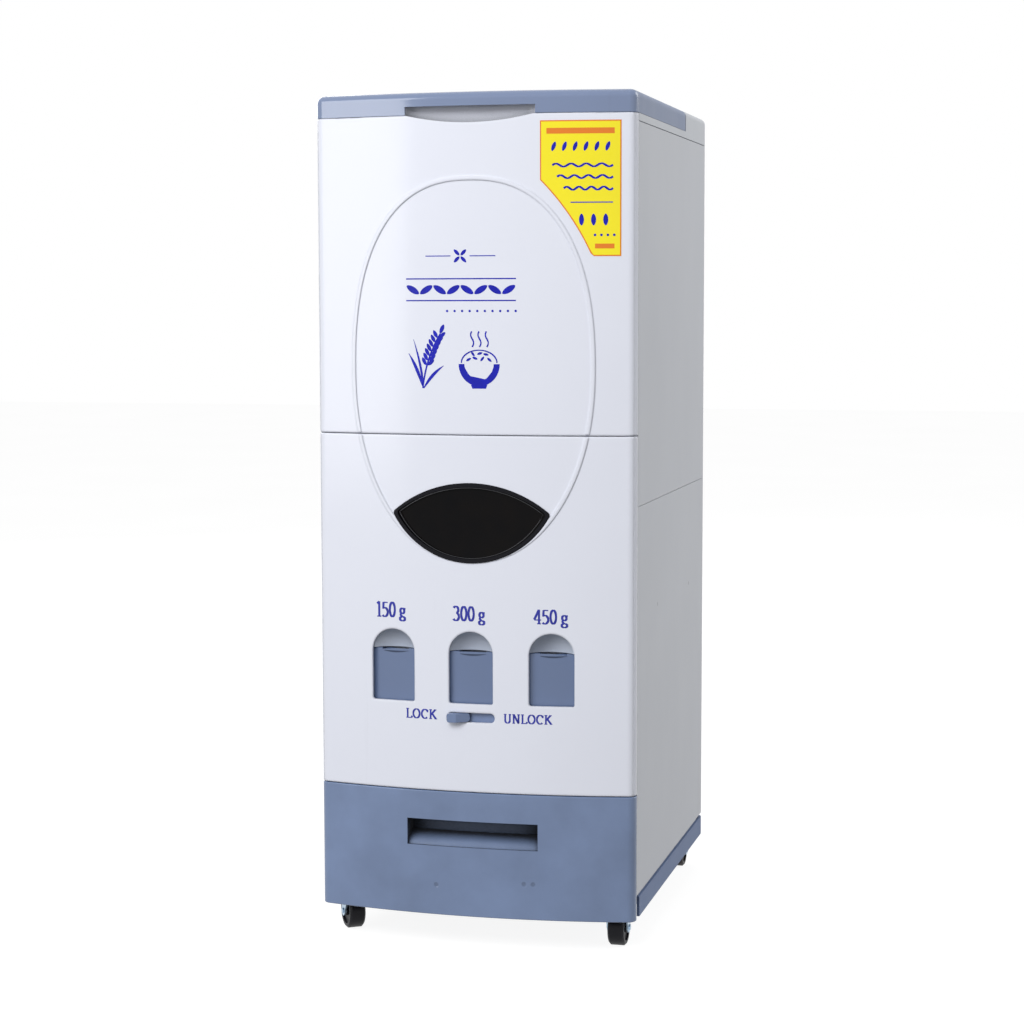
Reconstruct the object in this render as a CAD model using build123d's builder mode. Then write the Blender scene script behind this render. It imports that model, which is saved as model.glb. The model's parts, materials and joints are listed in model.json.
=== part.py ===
from build123d import *
from math import asin, atan, cos, degrees, radians, sin, sqrt, tan
import os

# Overall sizes of the cabinet, in millimetres
cabinet_width = 352.8
cabinet_depth = 430.0
front_bow = 19.3
corner_radius = 10.0
rear_corner_radius = 8.0
panel_wall = 2.5
seam = 0.8
seat_gap = 0.3

# Heights above the floor
base_bottom = 38.6
base_top = 60.5
side_bottom = 65.4
side_seam = 485.2
drawer_bottom = 38.0
drawer_top = 174.6
front_seam = 560.8
top = 922.5
lid_height = 24.0
ring_height = 8.1
lid_bottom = top - lid_height
top_frame_bottom = lid_bottom - ring_height

# Plan lines
lock_knob_proud = 8.0
half_width = cabinet_width / 2
overall_depth = cabinet_depth + front_bow + lock_knob_proud
rear_y = overall_depth / 2
apex_y = lock_knob_proud - rear_y
corner_line_y = apex_y + front_bow
return_length = 9.0
return_end_y = corner_line_y + return_length
side_front_gap = 1.0
side_front_y = return_end_y + side_front_gap
deck_depth = 140.65
lid_rear_y = rear_y - deck_depth
bow_radius = (half_width**2 + front_bow**2) / (2 * front_bow)
bow_centre_y = apex_y + bow_radius

# Flanges, ribs and tongues of the knock-down panels
flange_width = 9.0
tongue_wall = 2.0
tongue_reach = 7.0
rib_wall = 1.8
rib_depth = 8.0
edge_round = 1.2

# Levers, their openings and the wells behind them
lever_side_margin = 88.4
lever_pitch = half_width - lever_side_margin
opening_width = 49.0
opening_bottom = 271.5
arch_spring = 325.5
lever_travel = 25.0
lever_top = 327.5
lever_recess = 6.8
lever_wall = 2.0
lever_overlap = 0.7
lever_side_gap = 0.5
lever_depth = 17.0
well_depth = 16.0
well_wall = 2.0
opening_corner = 2.5
opening_rim = 1.6
rim_depth = 4.2

# Lock slide
lock_slot_width = 53.0
lock_slot_height = 10.5
lock_slot_z = 256.8
lock_travel = 24.0
lock_plate_inset = 5.0
lock_plate_wall = 1.2
lock_knob_length = 24.0

# Metering unit: three chambers, each with a rocking gate on one shaft
portion_grams = (150.0, 300.0, 450.0)
rice_density = 0.85
pivot_setback = 92.65
pivot_y = apex_y + pivot_setback
pivot_z = 290.0
crank_radius = 56.0
chamber_spacing = 12.0
chamber_width = lever_pitch - chamber_spacing
chamber_wall = 2.0
chamber_radius = 55.0
mouth_depth = 20.5
shoulder_angle = 41.0
floor_slope = 40.0
shutter_gap = 0.5
shutter_wall = 2.0
cheek_gap = 0.6
cheek_wall = 2.0
shutter_lap = 1.5
shaft_radius = 2.5
running_gap = 0.06
fixed_gap = 0.04
hub_radius = 8.0
pin_radius = 2.0
pin_slot_gap = 0.3
crank_wall = 4.0
ear_wall = 3.0
ear_gap = 1.0

# Hopper
hopper_front_z = 415.0
hopper_rear_z = 560.0
hopper_wall = 2.0
hopper_rim = 10.0
hopper_front_margin = 5.0
hopper_rear_margin = 1.5
hopper_lip_end = 10.0
hopper_lip_trim = 80.0

# Window
window_z = 477.5
window_half_width = 87.3
window_top = 510.0
window_bottom = 424.0
bezel_width = 4.5
window_corner = 4.0
bezel_lap = 2.0
bezel_proud = 1.2
bezel_depth = 8.0
bezel_face_gap = 0.1
lens_seat_lap = 0.5
lens_inset = 1.5
lens_wall = 2.0

# Raised oval line across both front panels
oval_side_margin = 42.4
oval_top_drop = 64.5
oval_top = lid_bottom - oval_top_drop
oval_z = (oval_top + window_bottom) / 2
oval_half_width = half_width - oval_side_margin
oval_half_height = (oval_top - window_bottom) / 2
oval_line = 4.0
oval_proud = 1.0

# Finger scoop under the lid
scoop_half_width = 71.0
scoop_drop = 8.5
scoop_bottom = lid_bottom - scoop_drop
scoop_depth = 14.0
scoop_corner = 10.0
lid_notch_height = 8.9
lid_notch_top = lid_bottom + lid_notch_height
scoop_wall_top = lid_notch_top + 4.0
scoop_wall_gap = 0.8

# Lid and its hinge
lid_wall = 2.5
lid_edge_radius = 8.0
barrel_radius = 3.0
hinge_pin_radius = 1.5
hinge_pin_length = 28.0
ear_gap_x = 0.5
barrel_side_margin = 26.4
barrel_half_length = half_width - barrel_side_margin
hinge_setback = 3.4
hinge_drop = 3.2
hinge_y = lid_rear_y + hinge_setback
hinge_z = top - hinge_drop

# Drawer
handle_half_width = 73.0
handle_bottom = 114.0
handle_top = 143.0
handle_depth = 22.0
tray_side_margin = 28.4
tray_half_width = half_width - tray_side_margin
tray_bottom = 64.0
tray_top = 158.0
tray_front_gap = 4.35
tray_front_y = return_end_y + tray_front_gap
tray_length = 304.0
tray_rear_y = tray_front_y + tray_length
tray_wall = 2.2
drawer_travel = 260.0
runner_gap = 0.6

# Castors
wheel_radius = 20.0
wheel_width = 18.0
castor_inset_side = 27.0
castor_front = 35.0
castor_rear = 32.0
castor_trail = 11.0
castor_plate_size = 38.0
castor_plate_wall = 3.0
fork_wall = 2.0
fork_gap = 1.0
kingpin_radius = 4.0
axle_radius = 3.0
base_floor = 52.0
base_floor_wall = 3.0

os.makedirs("parts", exist_ok=True)


def save(part, name):
    """Label a finished piece and write it to its own file."""
    part.label = name
    export_step(part, f"parts/{name}.step")


def bow_y(x, inset=0.0):
    """Y of the bowed front at x, measured inset from the outside face."""
    return bow_centre_y - sqrt((bow_radius - inset) ** 2 - x**2)


def bowed_plan(z, inset, back_y):
    """Plan outline of a bowed front piece at height z, with rounded corners."""
    side = half_width - inset
    corner_y = bow_y(side, inset)
    with BuildSketch(Plane.XY.offset(z)) as plan:
        with BuildLine():
            ThreePointArc((-side, corner_y), (0, bow_y(0, inset)), (side, corner_y))
            Polyline((side, corner_y), (side, back_y), (-side, back_y), (-side, corner_y))
        make_face()
        fillet(plan.vertices().group_by(Axis.Y)[0], max(corner_radius - inset, 1.0))
    return plan.sketch


# Plane behind the front skin on which the openings are drawn
front_plane_setback = 60.0
front_plane = Plane.XZ.offset(-apex_y - front_plane_setback)
front_reach = front_plane_setback + 20.0


def arch_face(x, margin=0.0):
    """Lever opening with a round top, on the front plane."""
    half = opening_width / 2 + margin
    low = opening_bottom - margin
    with BuildSketch(front_plane) as arch:
        with BuildLine():
            Line((x - half, low), (x + half, low))
            Line((x + half, low), (x + half, arch_spring))
            ThreePointArc((x + half, arch_spring), (x, arch_spring + half), (x - half, arch_spring))
            Line((x - half, arch_spring), (x - half, low))
        make_face()
        fillet(arch.vertices().group_by(Axis.Y)[0], opening_corner + margin)
    return arch.sketch


def window_face(margin=0.0):
    """Leaf-shaped window with pointed sides, on the front plane."""
    half = window_half_width + margin
    high = window_top + margin
    low = window_bottom - margin
    with BuildSketch(front_plane) as leaf:
        with BuildLine():
            ThreePointArc((-half, window_z), (0, high), (half, window_z))
            ThreePointArc((half, window_z), (0, low), (-half, window_z))
        make_face()
        fillet(leaf.vertices(), window_corner)
    return leaf.sketch


def bowed_layer(face, outer, inner):
    """The stretch of a front outline that lies between two depths behind the bowed face."""
    with BuildPart() as layer:
        extrude(face, amount=front_reach)
        full_height = top - drawer_bottom
        extrude(bowed_plan(drawer_bottom, outer, 0), amount=full_height, mode=Mode.INTERSECT)
        extrude(bowed_plan(drawer_bottom, inner, 1), amount=full_height, mode=Mode.SUBTRACT)
    return layer.part


def front_rectangle(low_x, high_x, low_z, high_z):
    """Upright rectangle on the front plane."""
    with BuildSketch(front_plane) as area:
        with Locations((low_x, low_z)):
            Rectangle(high_x - low_x, high_z - low_z, align=(Align.MIN, Align.MIN))
    return area.sketch


lever_places = (-lever_pitch, 0.0, lever_pitch)

# Raised oval line
oval_steps = 32


def oval_points(shrink):
    """Points of the oval line, a little squarer above its middle than below."""
    points = []
    for step in range(oval_steps):
        turn = radians(360 * step / oval_steps)
        power = 2 / 2.4 if sin(turn) > 0 else 2 / 2.1
        x = (oval_half_width - shrink) * abs(cos(turn)) ** power * (1 if cos(turn) > 0 else -1)
        z = (oval_half_height - shrink) * abs(sin(turn)) ** power * (1 if sin(turn) > 0 else -1)
        points.append((x, oval_z + z))
    return points


with BuildPart() as oval_bead:
    with BuildSketch(front_plane):
        with BuildLine():
            Spline(*oval_points(0), periodic=True)
        make_face()
        with BuildLine():
            Spline(*oval_points(oval_line), periodic=True)
        make_face(mode=Mode.SUBTRACT)
    extrude(amount=front_reach)
    front_height = lid_bottom - drawer_top
    extrude(bowed_plan(drawer_top, -oval_proud, return_end_y), amount=front_height, mode=Mode.INTERSECT)
    skin_middle = bowed_plan(drawer_top, panel_wall / 2, return_end_y + 1)
    extrude(skin_middle, amount=front_height, mode=Mode.SUBTRACT)

front_seam_low = front_seam - seam / 2
front_seam_high = front_seam + seam / 2
with BuildPart() as lower_bead:
    add(oval_bead.part)
    split(bisect_by=Plane.XY.offset(front_seam_low - edge_round), keep=Keep.BOTTOM)

with BuildPart() as upper_bead:
    add(oval_bead.part)
    split(bisect_by=Plane.XY.offset(front_seam_high + edge_round), keep=Keep.TOP)

# Turned-in rims of the lever openings and the lock slot
with BuildPart() as opening_rims:
    for lever_x in lever_places:
        extrude(arch_face(lever_x, opening_rim), amount=front_reach)
    with BuildSketch(front_plane):
        with Locations((0, lock_slot_z)):
            SlotOverall(lock_slot_width + 2 * opening_rim, lock_slot_height + 2 * opening_rim)
    extrude(amount=front_reach)
    extrude(skin_middle, amount=front_height, mode=Mode.INTERSECT)
    rim_back = bowed_plan(drawer_top, rim_depth, return_end_y + 1)
    extrude(rim_back, amount=front_height, mode=Mode.SUBTRACT)


def front_shell(bottom, height):
    """Bowed front shell with side returns and narrow flanges top and bottom."""
    extrude(bowed_plan(bottom, 0, return_end_y), amount=height)
    low_rim = edges().group_by(Axis.Z)[0].sort_by(Axis.Y)[:-1]
    high_rim = edges().group_by(Axis.Z)[-1].sort_by(Axis.Y)[:-1]
    fillet(low_rim + high_rim, edge_round)
    inside = bowed_plan(bottom + panel_wall, panel_wall, return_end_y + 1)
    extrude(inside, amount=height - 2 * panel_wall, mode=Mode.SUBTRACT)
    extrude(bowed_plan(bottom, flange_width, return_end_y + 1), amount=height, mode=Mode.SUBTRACT)
    with BuildSketch(Plane.XY.offset(bottom)) as tongue_room:
        with Locations((0, side_front_y - tongue_reach - 1)):
            room_depth = tongue_reach + 2
            Rectangle(cabinet_width - 2 * panel_wall, room_depth, align=(Align.CENTER, Align.MIN))
    extrude(tongue_room.sketch, amount=height, mode=Mode.SUBTRACT)


# Lower front panel
lower_front_bottom = drawer_top + seam
with BuildPart() as lower_front_panel:
    front_shell(lower_front_bottom, front_seam_low - lower_front_bottom)
    add(lower_bead.part)
    add(opening_rims.part)
    for lever_x in lever_places:
        extrude(arch_face(lever_x), amount=front_reach, mode=Mode.SUBTRACT)
    with BuildSketch(front_plane):
        with Locations((0, lock_slot_z)):
            SlotOverall(lock_slot_width, lock_slot_height)
    extrude(amount=front_reach, mode=Mode.SUBTRACT)
    extrude(window_face(-bezel_lap), amount=front_reach, mode=Mode.SUBTRACT)
    add(bowed_layer(window_face(seat_gap), -oval_proud - 1, 0), mode=Mode.SUBTRACT)
save(lower_front_panel.part, "lower_front_panel")

# Upper front panel with the scoop for the fingers
panel_top = lid_bottom - seat_gap


def scoop_plan(z, margin, front_y):
    """Plan of the scoop's pocket with rounded rear corners, grown by a margin."""
    with BuildSketch(Plane.XY.offset(z)) as plan:
        with Locations((0, apex_y + scoop_depth + margin)):
            length = apex_y + scoop_depth + margin - front_y
            Rectangle(2 * (scoop_half_width + margin), length, align=(Align.CENTER, Align.MAX))
        fillet(plan.vertices().group_by(Axis.Y)[-1], scoop_corner + margin)
    return plan.sketch


with BuildPart() as scoop_block:
    block_half = scoop_half_width + panel_wall
    with BuildSketch(Plane.XZ.offset(-apex_y)):
        with BuildLine():
            ThreePointArc((-block_half, panel_top), (0, scoop_bottom - panel_wall), (block_half, panel_top))
            Line((block_half, panel_top), (-block_half, panel_top))
        make_face()
    extrude(amount=-scoop_depth - panel_wall)
    extrude(skin_middle, amount=front_height, mode=Mode.INTERSECT)

with BuildPart() as scoop_cut:
    with BuildSketch(Plane.XZ.offset(-apex_y + 1)):
        with BuildLine():
            left_end = (-scoop_half_width, lid_bottom)
            right_end = (scoop_half_width, lid_bottom)
            ThreePointArc(left_end, (0, scoop_bottom), right_end)
            Line(right_end, left_end)
        make_face()
    extrude(amount=-scoop_depth - 1)
    extrude(scoop_plan(scoop_bottom, 0, apex_y - 2), amount=lid_bottom - scoop_bottom, mode=Mode.INTERSECT)

with BuildPart() as scoop_wall:
    wall_height = scoop_wall_top - panel_top
    extrude(scoop_plan(panel_top, panel_wall, apex_y), amount=wall_height)
    extrude(scoop_plan(panel_top, 0, apex_y - 1), amount=wall_height, mode=Mode.SUBTRACT)
    behind_lid = bowed_plan(panel_top, lid_wall + scoop_wall_gap, 0)
    extrude(behind_lid, amount=wall_height, mode=Mode.INTERSECT)

with BuildPart() as upper_front_panel:
    front_shell(front_seam_high, panel_top - front_seam_high)
    add(upper_bead.part)
    add(scoop_block.part)
    add(scoop_cut.part, mode=Mode.SUBTRACT)
    add(scoop_wall.part)
save(upper_front_panel.part, "upper_front_panel")

# Side panels
side_gap = 0.5
corner_return = 14.0
tongue_offset = panel_wall + seat_gap


def hopper_line(y):
    """Height of the hopper's sloping rim at y."""
    front = side_front_y
    return hopper_front_z + (y - front) * (hopper_rear_z - hopper_front_z) / (rear_y - front)


def side_plan(z):
    """Plan of a left side panel's skin with its rounded rear corner."""
    outer_x = -half_width
    inner_x = outer_x + panel_wall
    lap_x = inner_x + corner_return
    with BuildSketch(Plane.XY.offset(z)) as plan:
        with BuildLine():
            Polyline(
                (outer_x, side_front_y),
                (outer_x, rear_y),
                (lap_x, rear_y),
                (lap_x, rear_y - panel_wall),
                (inner_x, rear_y - panel_wall),
                (inner_x, side_front_y),
                close=True,
            )
        make_face()
        fillet(plan.vertices().sort_by_distance((outer_x, rear_y))[0], rear_corner_radius)
        inner_corner = plan.vertices().sort_by_distance((inner_x, rear_y - panel_wall))[0]
        fillet(inner_corner, rear_corner_radius - panel_wall)
    return plan.sketch


def rib_heights(bottom, height):
    """Two level ribs, at a third and two thirds of a panel."""
    return (bottom + height / 3, bottom + 2 * height / 3)


def side_panel(bottom, height, low_tongue, ledge):
    """Left side panel: skin, edge ribs, front tongue and a tongue below."""
    corner = (Align.MIN, Align.MIN)
    inner_x = -half_width + panel_wall
    extrude(side_plan(bottom), amount=height)
    with BuildSketch(Plane.XY.offset(bottom)) as front_edge:
        with Locations((inner_x - panel_wall / 2, side_front_y)):
            Rectangle(rib_depth, panel_wall, align=corner)
        with Locations((-half_width + tongue_offset, side_front_y - tongue_reach)):
            Rectangle(tongue_wall, tongue_reach + panel_wall, align=corner)
    extrude(front_edge.sketch, amount=height)
    for rib_z in rib_heights(bottom, height):
        with BuildSketch(Plane.XY.offset(rib_z)) as rib:
            with Locations((inner_x - panel_wall / 2, side_front_y)):
                Rectangle(rib_depth, rear_y - side_front_y - panel_wall - corner_return, align=corner)
        extrude(rib.sketch, amount=rib_wall)
    length = rear_y - side_front_y - 2 * corner_return - tongue_reach
    with BuildSketch(Plane.XY.offset(bottom - low_tongue)) as tongue:
        with Locations((-half_width + tongue_offset, side_front_y + tongue_reach)):
            Rectangle(tongue_wall, length, align=corner)
    extrude(tongue.sketch, amount=low_tongue + rib_depth)
    with BuildSketch(Plane.XY.offset(bottom)) as tongue_root:
        with Locations((inner_x - panel_wall / 2, side_front_y + tongue_reach)):
            Rectangle(panel_wall, length, align=corner)
    extrude(tongue_root.sketch, amount=rib_depth)
    with BuildSketch(Plane.YZ.offset(inner_x - panel_wall / 2)) as ledge_side:
        Polygon(*ledge, align=None)
    extrude(ledge_side.sketch, amount=rib_depth)


ledge_wall = 3.0
ledge_margin = 20.0
ledge_front_gap = 3.0
rim_run = (rear_y - side_front_y) / (hopper_rear_z - hopper_front_z)
seam_y = side_front_y + (side_seam - hopper_front_z) * rim_run


def ledge_outline(start_y, end_y):
    """Side outline of a ledge that runs just under the hopper's rim."""
    drop = hopper_wall + seat_gap
    return (
        (start_y, hopper_line(start_y) - drop),
        (end_y, hopper_line(end_y) - drop),
        (end_y, hopper_line(end_y) - drop - ledge_wall),
        (start_y, hopper_line(start_y) - drop - ledge_wall),
    )


lower_tongue = side_bottom - base_top - seat_gap
with BuildPart() as left_lower_side:
    side_panel(
        side_bottom,
        side_seam - side_gap / 2 - side_bottom,
        lower_tongue,
        ledge_outline(side_front_y + ledge_front_gap, seam_y - ledge_margin),
    )
save(left_lower_side.part, "left_lower_side")

with BuildPart() as right_lower_side:
    add(mirror(left_lower_side.part, about=Plane.YZ, mode=Mode.PRIVATE))
save(right_lower_side.part, "right_lower_side")

with BuildPart() as left_upper_side:
    side_panel(
        side_seam + side_gap / 2,
        top_frame_bottom - seam - side_seam - side_gap / 2,
        rib_depth,
        ledge_outline(seam_y + ledge_margin, rear_y - ledge_margin),
    )
save(left_upper_side.part, "left_upper_side")

with BuildPart() as right_upper_side:
    add(mirror(left_upper_side.part, about=Plane.YZ, mode=Mode.PRIVATE))
save(right_upper_side.part, "right_upper_side")

# Back panels, between the side panels' rear corners
back_half = half_width - corner_return - panel_wall - seat_gap
back_lap = 10.0


def back_panel(bottom, height):
    """Flat back panel with side laps behind the corners and cross ribs."""
    rear = (Align.CENTER, Align.MAX)
    lap_start = rear_y - panel_wall - seat_gap
    with BuildSketch(Plane.XY.offset(bottom)) as skin:
        with Locations((0, rear_y)):
            Rectangle(2 * back_half, panel_wall + seat_gap + tongue_wall, align=rear)
        with Locations((0, lap_start)):
            Rectangle(2 * (back_half + back_lap), tongue_wall, align=rear)
        with Locations((0, lap_start)):
            Rectangle(2 * (back_half - back_lap), tongue_wall, align=rear, mode=Mode.SUBTRACT)
        with Locations((0, rear_y - panel_wall)):
            Rectangle(2 * (back_half - back_lap), seat_gap, align=rear, mode=Mode.SUBTRACT)
    extrude(skin.sketch, amount=height)
    for rib_z in rib_heights(bottom, height):
        with BuildSketch(Plane.XY.offset(rib_z)) as rib:
            with Locations((0, rear_y - panel_wall / 2)):
                Rectangle(2 * back_half, rib_depth, align=rear)
        extrude(rib.sketch, amount=rib_wall)


back_bottom = base_top + seat_gap
with BuildPart() as lower_back_panel:
    back_panel(back_bottom, side_seam - side_gap / 2 - back_bottom)
save(lower_back_panel.part, "lower_back_panel")

with BuildPart() as upper_back_panel:
    back_panel(side_seam + side_gap / 2, top_frame_bottom - seam - side_seam - side_gap / 2)
save(upper_back_panel.part, "upper_back_panel")


# Window: bezel with an inner seat, and a clear lens
with BuildPart() as window_bezel:
    add(bowed_layer(window_face(0), -bezel_proud, -bezel_face_gap))
    add(bowed_layer(window_face(-bezel_lap - seat_gap), -bezel_proud, bezel_depth))
    extrude(window_face(-bezel_width), amount=front_reach, mode=Mode.SUBTRACT)
    lens_back = lens_inset + lens_wall + seat_gap
    add(bowed_layer(window_face(-bezel_width + lens_seat_lap), lens_back, bezel_depth))
    extrude(window_face(-bezel_width - bezel_lap), amount=front_reach, mode=Mode.SUBTRACT)
save(window_bezel.part, "window_bezel")

with BuildPart() as window_lens:
    add(bowed_layer(window_face(-bezel_width - seat_gap), lens_inset, lens_inset + lens_wall))
save(window_lens.part, "window_lens")

# Base frame: a skirted tray with a collar inside the side panels
base_setback = 16.0
base_wall = 3.0
base_front_y = return_end_y + base_setback
collar_inset = panel_wall + tongue_wall + 2 * seat_gap
collar_height = 12.0
apron_reach = 1.0
apron_front_y = tray_front_y - apron_reach
apron_inset = 9.0


def cabinet_plan(z, inset, front_y):
    """Plan of the cabinet behind its front, with rounded rear corners."""
    side = half_width - inset
    with BuildSketch(Plane.XY.offset(z)) as plan:
        with Locations((0, rear_y - inset)):
            Rectangle(2 * side, rear_y - inset - front_y, align=(Align.CENTER, Align.MAX))
        fillet(plan.vertices().group_by(Axis.Y)[-1], max(rear_corner_radius - inset, 1.0))
    return plan.sketch


with BuildPart() as base_frame:
    extrude(cabinet_plan(base_bottom, 0, base_front_y), amount=base_top - base_bottom)
    under = cabinet_plan(base_bottom, base_wall, base_front_y - 1)
    extrude(under, amount=base_top - base_bottom, mode=Mode.SUBTRACT)
    floor_plan = cabinet_plan(base_floor, base_wall / 2, base_front_y)
    extrude(floor_plan, amount=base_floor_wall)
    apron = cabinet_plan(base_floor, apron_inset, apron_front_y)
    extrude(apron, amount=base_floor_wall)
    collar = cabinet_plan(base_floor + base_floor_wall / 2, collar_inset, base_front_y)
    collar_reach = side_bottom + collar_height - base_floor - base_floor_wall / 2
    extrude(collar, amount=collar_reach)
    collar_inner = cabinet_plan(base_floor + base_floor_wall, collar_inset + tongue_wall, base_front_y - 1)
    extrude(collar_inner, amount=collar_reach, mode=Mode.SUBTRACT)
save(base_frame.part, "base_frame")

# Top frame: pale ring with a collar below and the fixed rear deck
deck_wall = 2.5
ring_width = 20.0
deck_edge_radius = 7.5
barrel_room_gap = 0.4
ear_gap_y = 0.6
deck_front_y = hinge_y + barrel_radius + barrel_room_gap
ear_front_y = lid_rear_y + ear_gap_y
ear_start = barrel_half_length + ear_gap_x
with BuildPart() as top_frame:
    deck = cabinet_plan(top_frame_bottom, 0, ear_front_y)
    extrude(deck, amount=top - top_frame_bottom)
    deck_edges = faces().sort_by(Axis.Z)[-1].edges().sort_by(Axis.Y)[1:]
    fillet(deck_edges, deck_edge_radius)
    with BuildSketch(Plane.XY.offset(panel_top)) as barrel_room:
        with Locations((0, ear_front_y - 1)):
            room = deck_front_y - ear_front_y + 1
            Rectangle(2 * ear_start, room, align=(Align.CENTER, Align.MIN))
    extrude(barrel_room.sketch, amount=top - panel_top, mode=Mode.SUBTRACT)
    deck_hollow = cabinet_plan(top_frame_bottom, rear_corner_radius, deck_front_y + deck_wall)
    extrude(deck_hollow, amount=top - deck_wall - top_frame_bottom, mode=Mode.SUBTRACT)
    ring = cabinet_plan(top_frame_bottom, 0, side_front_y)
    extrude(ring, amount=panel_top - top_frame_bottom)
    collar_low = top_frame_bottom - collar_height
    collar_front_y = side_front_y + tongue_reach
    collar_ring = cabinet_plan(collar_low, collar_inset, collar_front_y)
    extrude(collar_ring, amount=collar_height)
    ring_hole = cabinet_plan(top_frame_bottom, ring_width, side_front_y + ring_width)
    extrude(ring_hole, amount=panel_top - top_frame_bottom, mode=Mode.SUBTRACT)
    collar_hole = cabinet_plan(collar_low, collar_inset + tongue_wall, collar_front_y + tongue_wall)
    extrude(collar_hole, amount=collar_height, mode=Mode.SUBTRACT)
    with BuildSketch(Plane.YZ.offset(-half_width - 1)) as ear_corner:
        with Locations((hinge_y, hinge_z)):
            Rectangle(barrel_radius + 1, barrel_radius + 1, align=(Align.MAX, Align.MIN))
            Circle(top - hinge_z, mode=Mode.SUBTRACT)
    extrude(ear_corner.sketch, amount=cabinet_width + 2, mode=Mode.SUBTRACT)
    with Locations(Location((0, hinge_y, hinge_z), (0, 90, 0))):
        Cylinder(hinge_pin_radius + fixed_gap, 2 * ear_start + hinge_pin_length + 2, mode=Mode.SUBTRACT)
save(top_frame.part, "top_frame")

# Lid: shallow shell with rounded edges, a finger notch and a hinge barrel
with BuildPart() as lid_hollow:
    extrude(bowed_plan(lid_bottom, lid_wall, lid_rear_y - lid_wall), amount=lid_height - lid_wall)
    hollow_edges = faces().sort_by(Axis.Z)[-1].edges().sort_by(Axis.Y)[:-1]
    fillet(hollow_edges, lid_edge_radius - lid_wall)

with BuildPart() as lid:
    extrude(bowed_plan(lid_bottom, 0, lid_rear_y), amount=lid_height)
    lid_edges = faces().sort_by(Axis.Z)[-1].edges().sort_by(Axis.Y)[:-1]
    fillet(lid_edges, lid_edge_radius)
    rear_edge = faces().sort_by(Axis.Z)[-1].edges().sort_by(Axis.Y)[-1]
    fillet(rear_edge, lid_wall)
    add(lid_hollow.part, mode=Mode.SUBTRACT)
    extrude(
        front_rectangle(-scoop_half_width, scoop_half_width, lid_bottom - 1, lid_notch_top),
        amount=front_reach,
        mode=Mode.SUBTRACT,
    )
    with BuildSketch(Plane.YZ.offset(-barrel_half_length)):
        with Locations((hinge_y, hinge_z)):
            Circle(barrel_radius)
            Rectangle(hinge_y - lid_rear_y + 1, 2 * barrel_radius, align=(Align.MAX, Align.CENTER))
    extrude(amount=2 * barrel_half_length)
    with Locations(Location((0, hinge_y, hinge_z), (0, 90, 0))):
        Cylinder(hinge_pin_radius + running_gap, 2 * barrel_half_length + 2, mode=Mode.SUBTRACT)
save(lid.part, "lid")

with BuildPart() as lid_hinge_pins:
    for side_sign in (-1, 1):
        with Locations(Location((side_sign * ear_start, hinge_y, hinge_z), (0, 90, 0))):
            Cylinder(hinge_pin_radius, hinge_pin_length)
save(lid_hinge_pins.part, "lid_hinge_pins")

# Hopper: sloping funnel that rests on the side panels' ledges
hopper_angle = degrees(atan((hopper_rear_z - hopper_front_z) / (rear_y - side_front_y)))
shutter_reach = chamber_radius + shutter_gap + shutter_wall
hopper_floor_z = pivot_z + shutter_reach + shutter_gap
hopper_rim_front = side_front_y + hopper_front_margin
hopper_rim_rear = rear_y - panel_wall - tongue_wall - 2 * seat_gap - hopper_rear_margin
hopper_middle_y = (hopper_rim_front + hopper_rim_rear) / 2
hopper_slant = (hopper_rim_rear - hopper_rim_front) / cos(radians(hopper_angle))
hopper_half_width = half_width - collar_inset
outlet_half_length = lever_pitch + chamber_width / 2
rim_plane = Plane(
    origin=(0, hopper_middle_y, hopper_line(hopper_middle_y)),
    x_dir=(1, 0, 0),
    z_dir=(0, -sin(radians(hopper_angle)), cos(radians(hopper_angle))),
)
with BuildPart() as hopper:
    with BuildSketch(Plane.XY.offset(hopper_floor_z)):
        with Locations((0, pivot_y)):
            Rectangle(2 * (outlet_half_length + hopper_wall), mouth_depth + 2 * hopper_wall)
    with BuildSketch(rim_plane):
        Rectangle(2 * (hopper_half_width - hopper_rim), hopper_slant - 2 * hopper_rim)
    loft(ruled=True)
    with BuildSketch(rim_plane.offset(-hopper_wall)):
        Rectangle(2 * hopper_half_width, hopper_slant)
    extrude(amount=hopper_wall)
    with BuildSketch(Plane.XY.offset(hopper_floor_z + hopper_wall)) as low_section:
        with Locations((0, pivot_y)):
            Rectangle(2 * outlet_half_length, mouth_depth)
    with BuildSketch(rim_plane) as high_section:
        edge = hopper_rim + hopper_wall
        Rectangle(2 * (hopper_half_width - edge), hopper_slant - 2 * edge)
    loft(sections=[low_section.sketch, high_section.sketch], ruled=True, mode=Mode.SUBTRACT)
    with BuildSketch(Plane.XY.offset(hopper_floor_z)) as outlets:
        with Locations((0, pivot_y)):
            with GridLocations(lever_pitch, 1, 3, 1):
                Rectangle(chamber_width, mouth_depth)
    extrude(outlets.sketch, amount=hopper_wall + 1, mode=Mode.SUBTRACT)
    lip_z = hopper_line(hopper_rim_front) - hopper_wall
    extrude(bowed_plan(lip_z, panel_wall + 0.5, hopper_rim_front + hopper_wall), amount=hopper_wall)
    with BuildSketch(Plane.XY.offset(lip_z - 1)) as lip_ends:
        with Locations((-half_width, hopper_rim_front), (half_width, hopper_rim_front)):
            Rectangle(2 * hopper_lip_end, hopper_lip_trim)
    extrude(lip_ends.sketch, amount=hopper_wall + 1, mode=Mode.SUBTRACT)
save(hopper.part, "hopper")

# Metering body: three chambers, their depth worked out from the portion weights
mouth_high = sqrt(chamber_radius**2 - (mouth_depth / 2 + chamber_wall) ** 2)
shoulder_y = (chamber_radius - chamber_wall) * sin(radians(shoulder_angle))
shoulder_z = (chamber_radius - chamber_wall) * cos(radians(shoulder_angle))
mouth_turn = degrees(asin(mouth_depth / 2 / chamber_radius))
gate_half_turn = degrees(atan(lever_travel / 2 / crank_radius))
gate_turn = 2 * gate_half_turn


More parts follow.
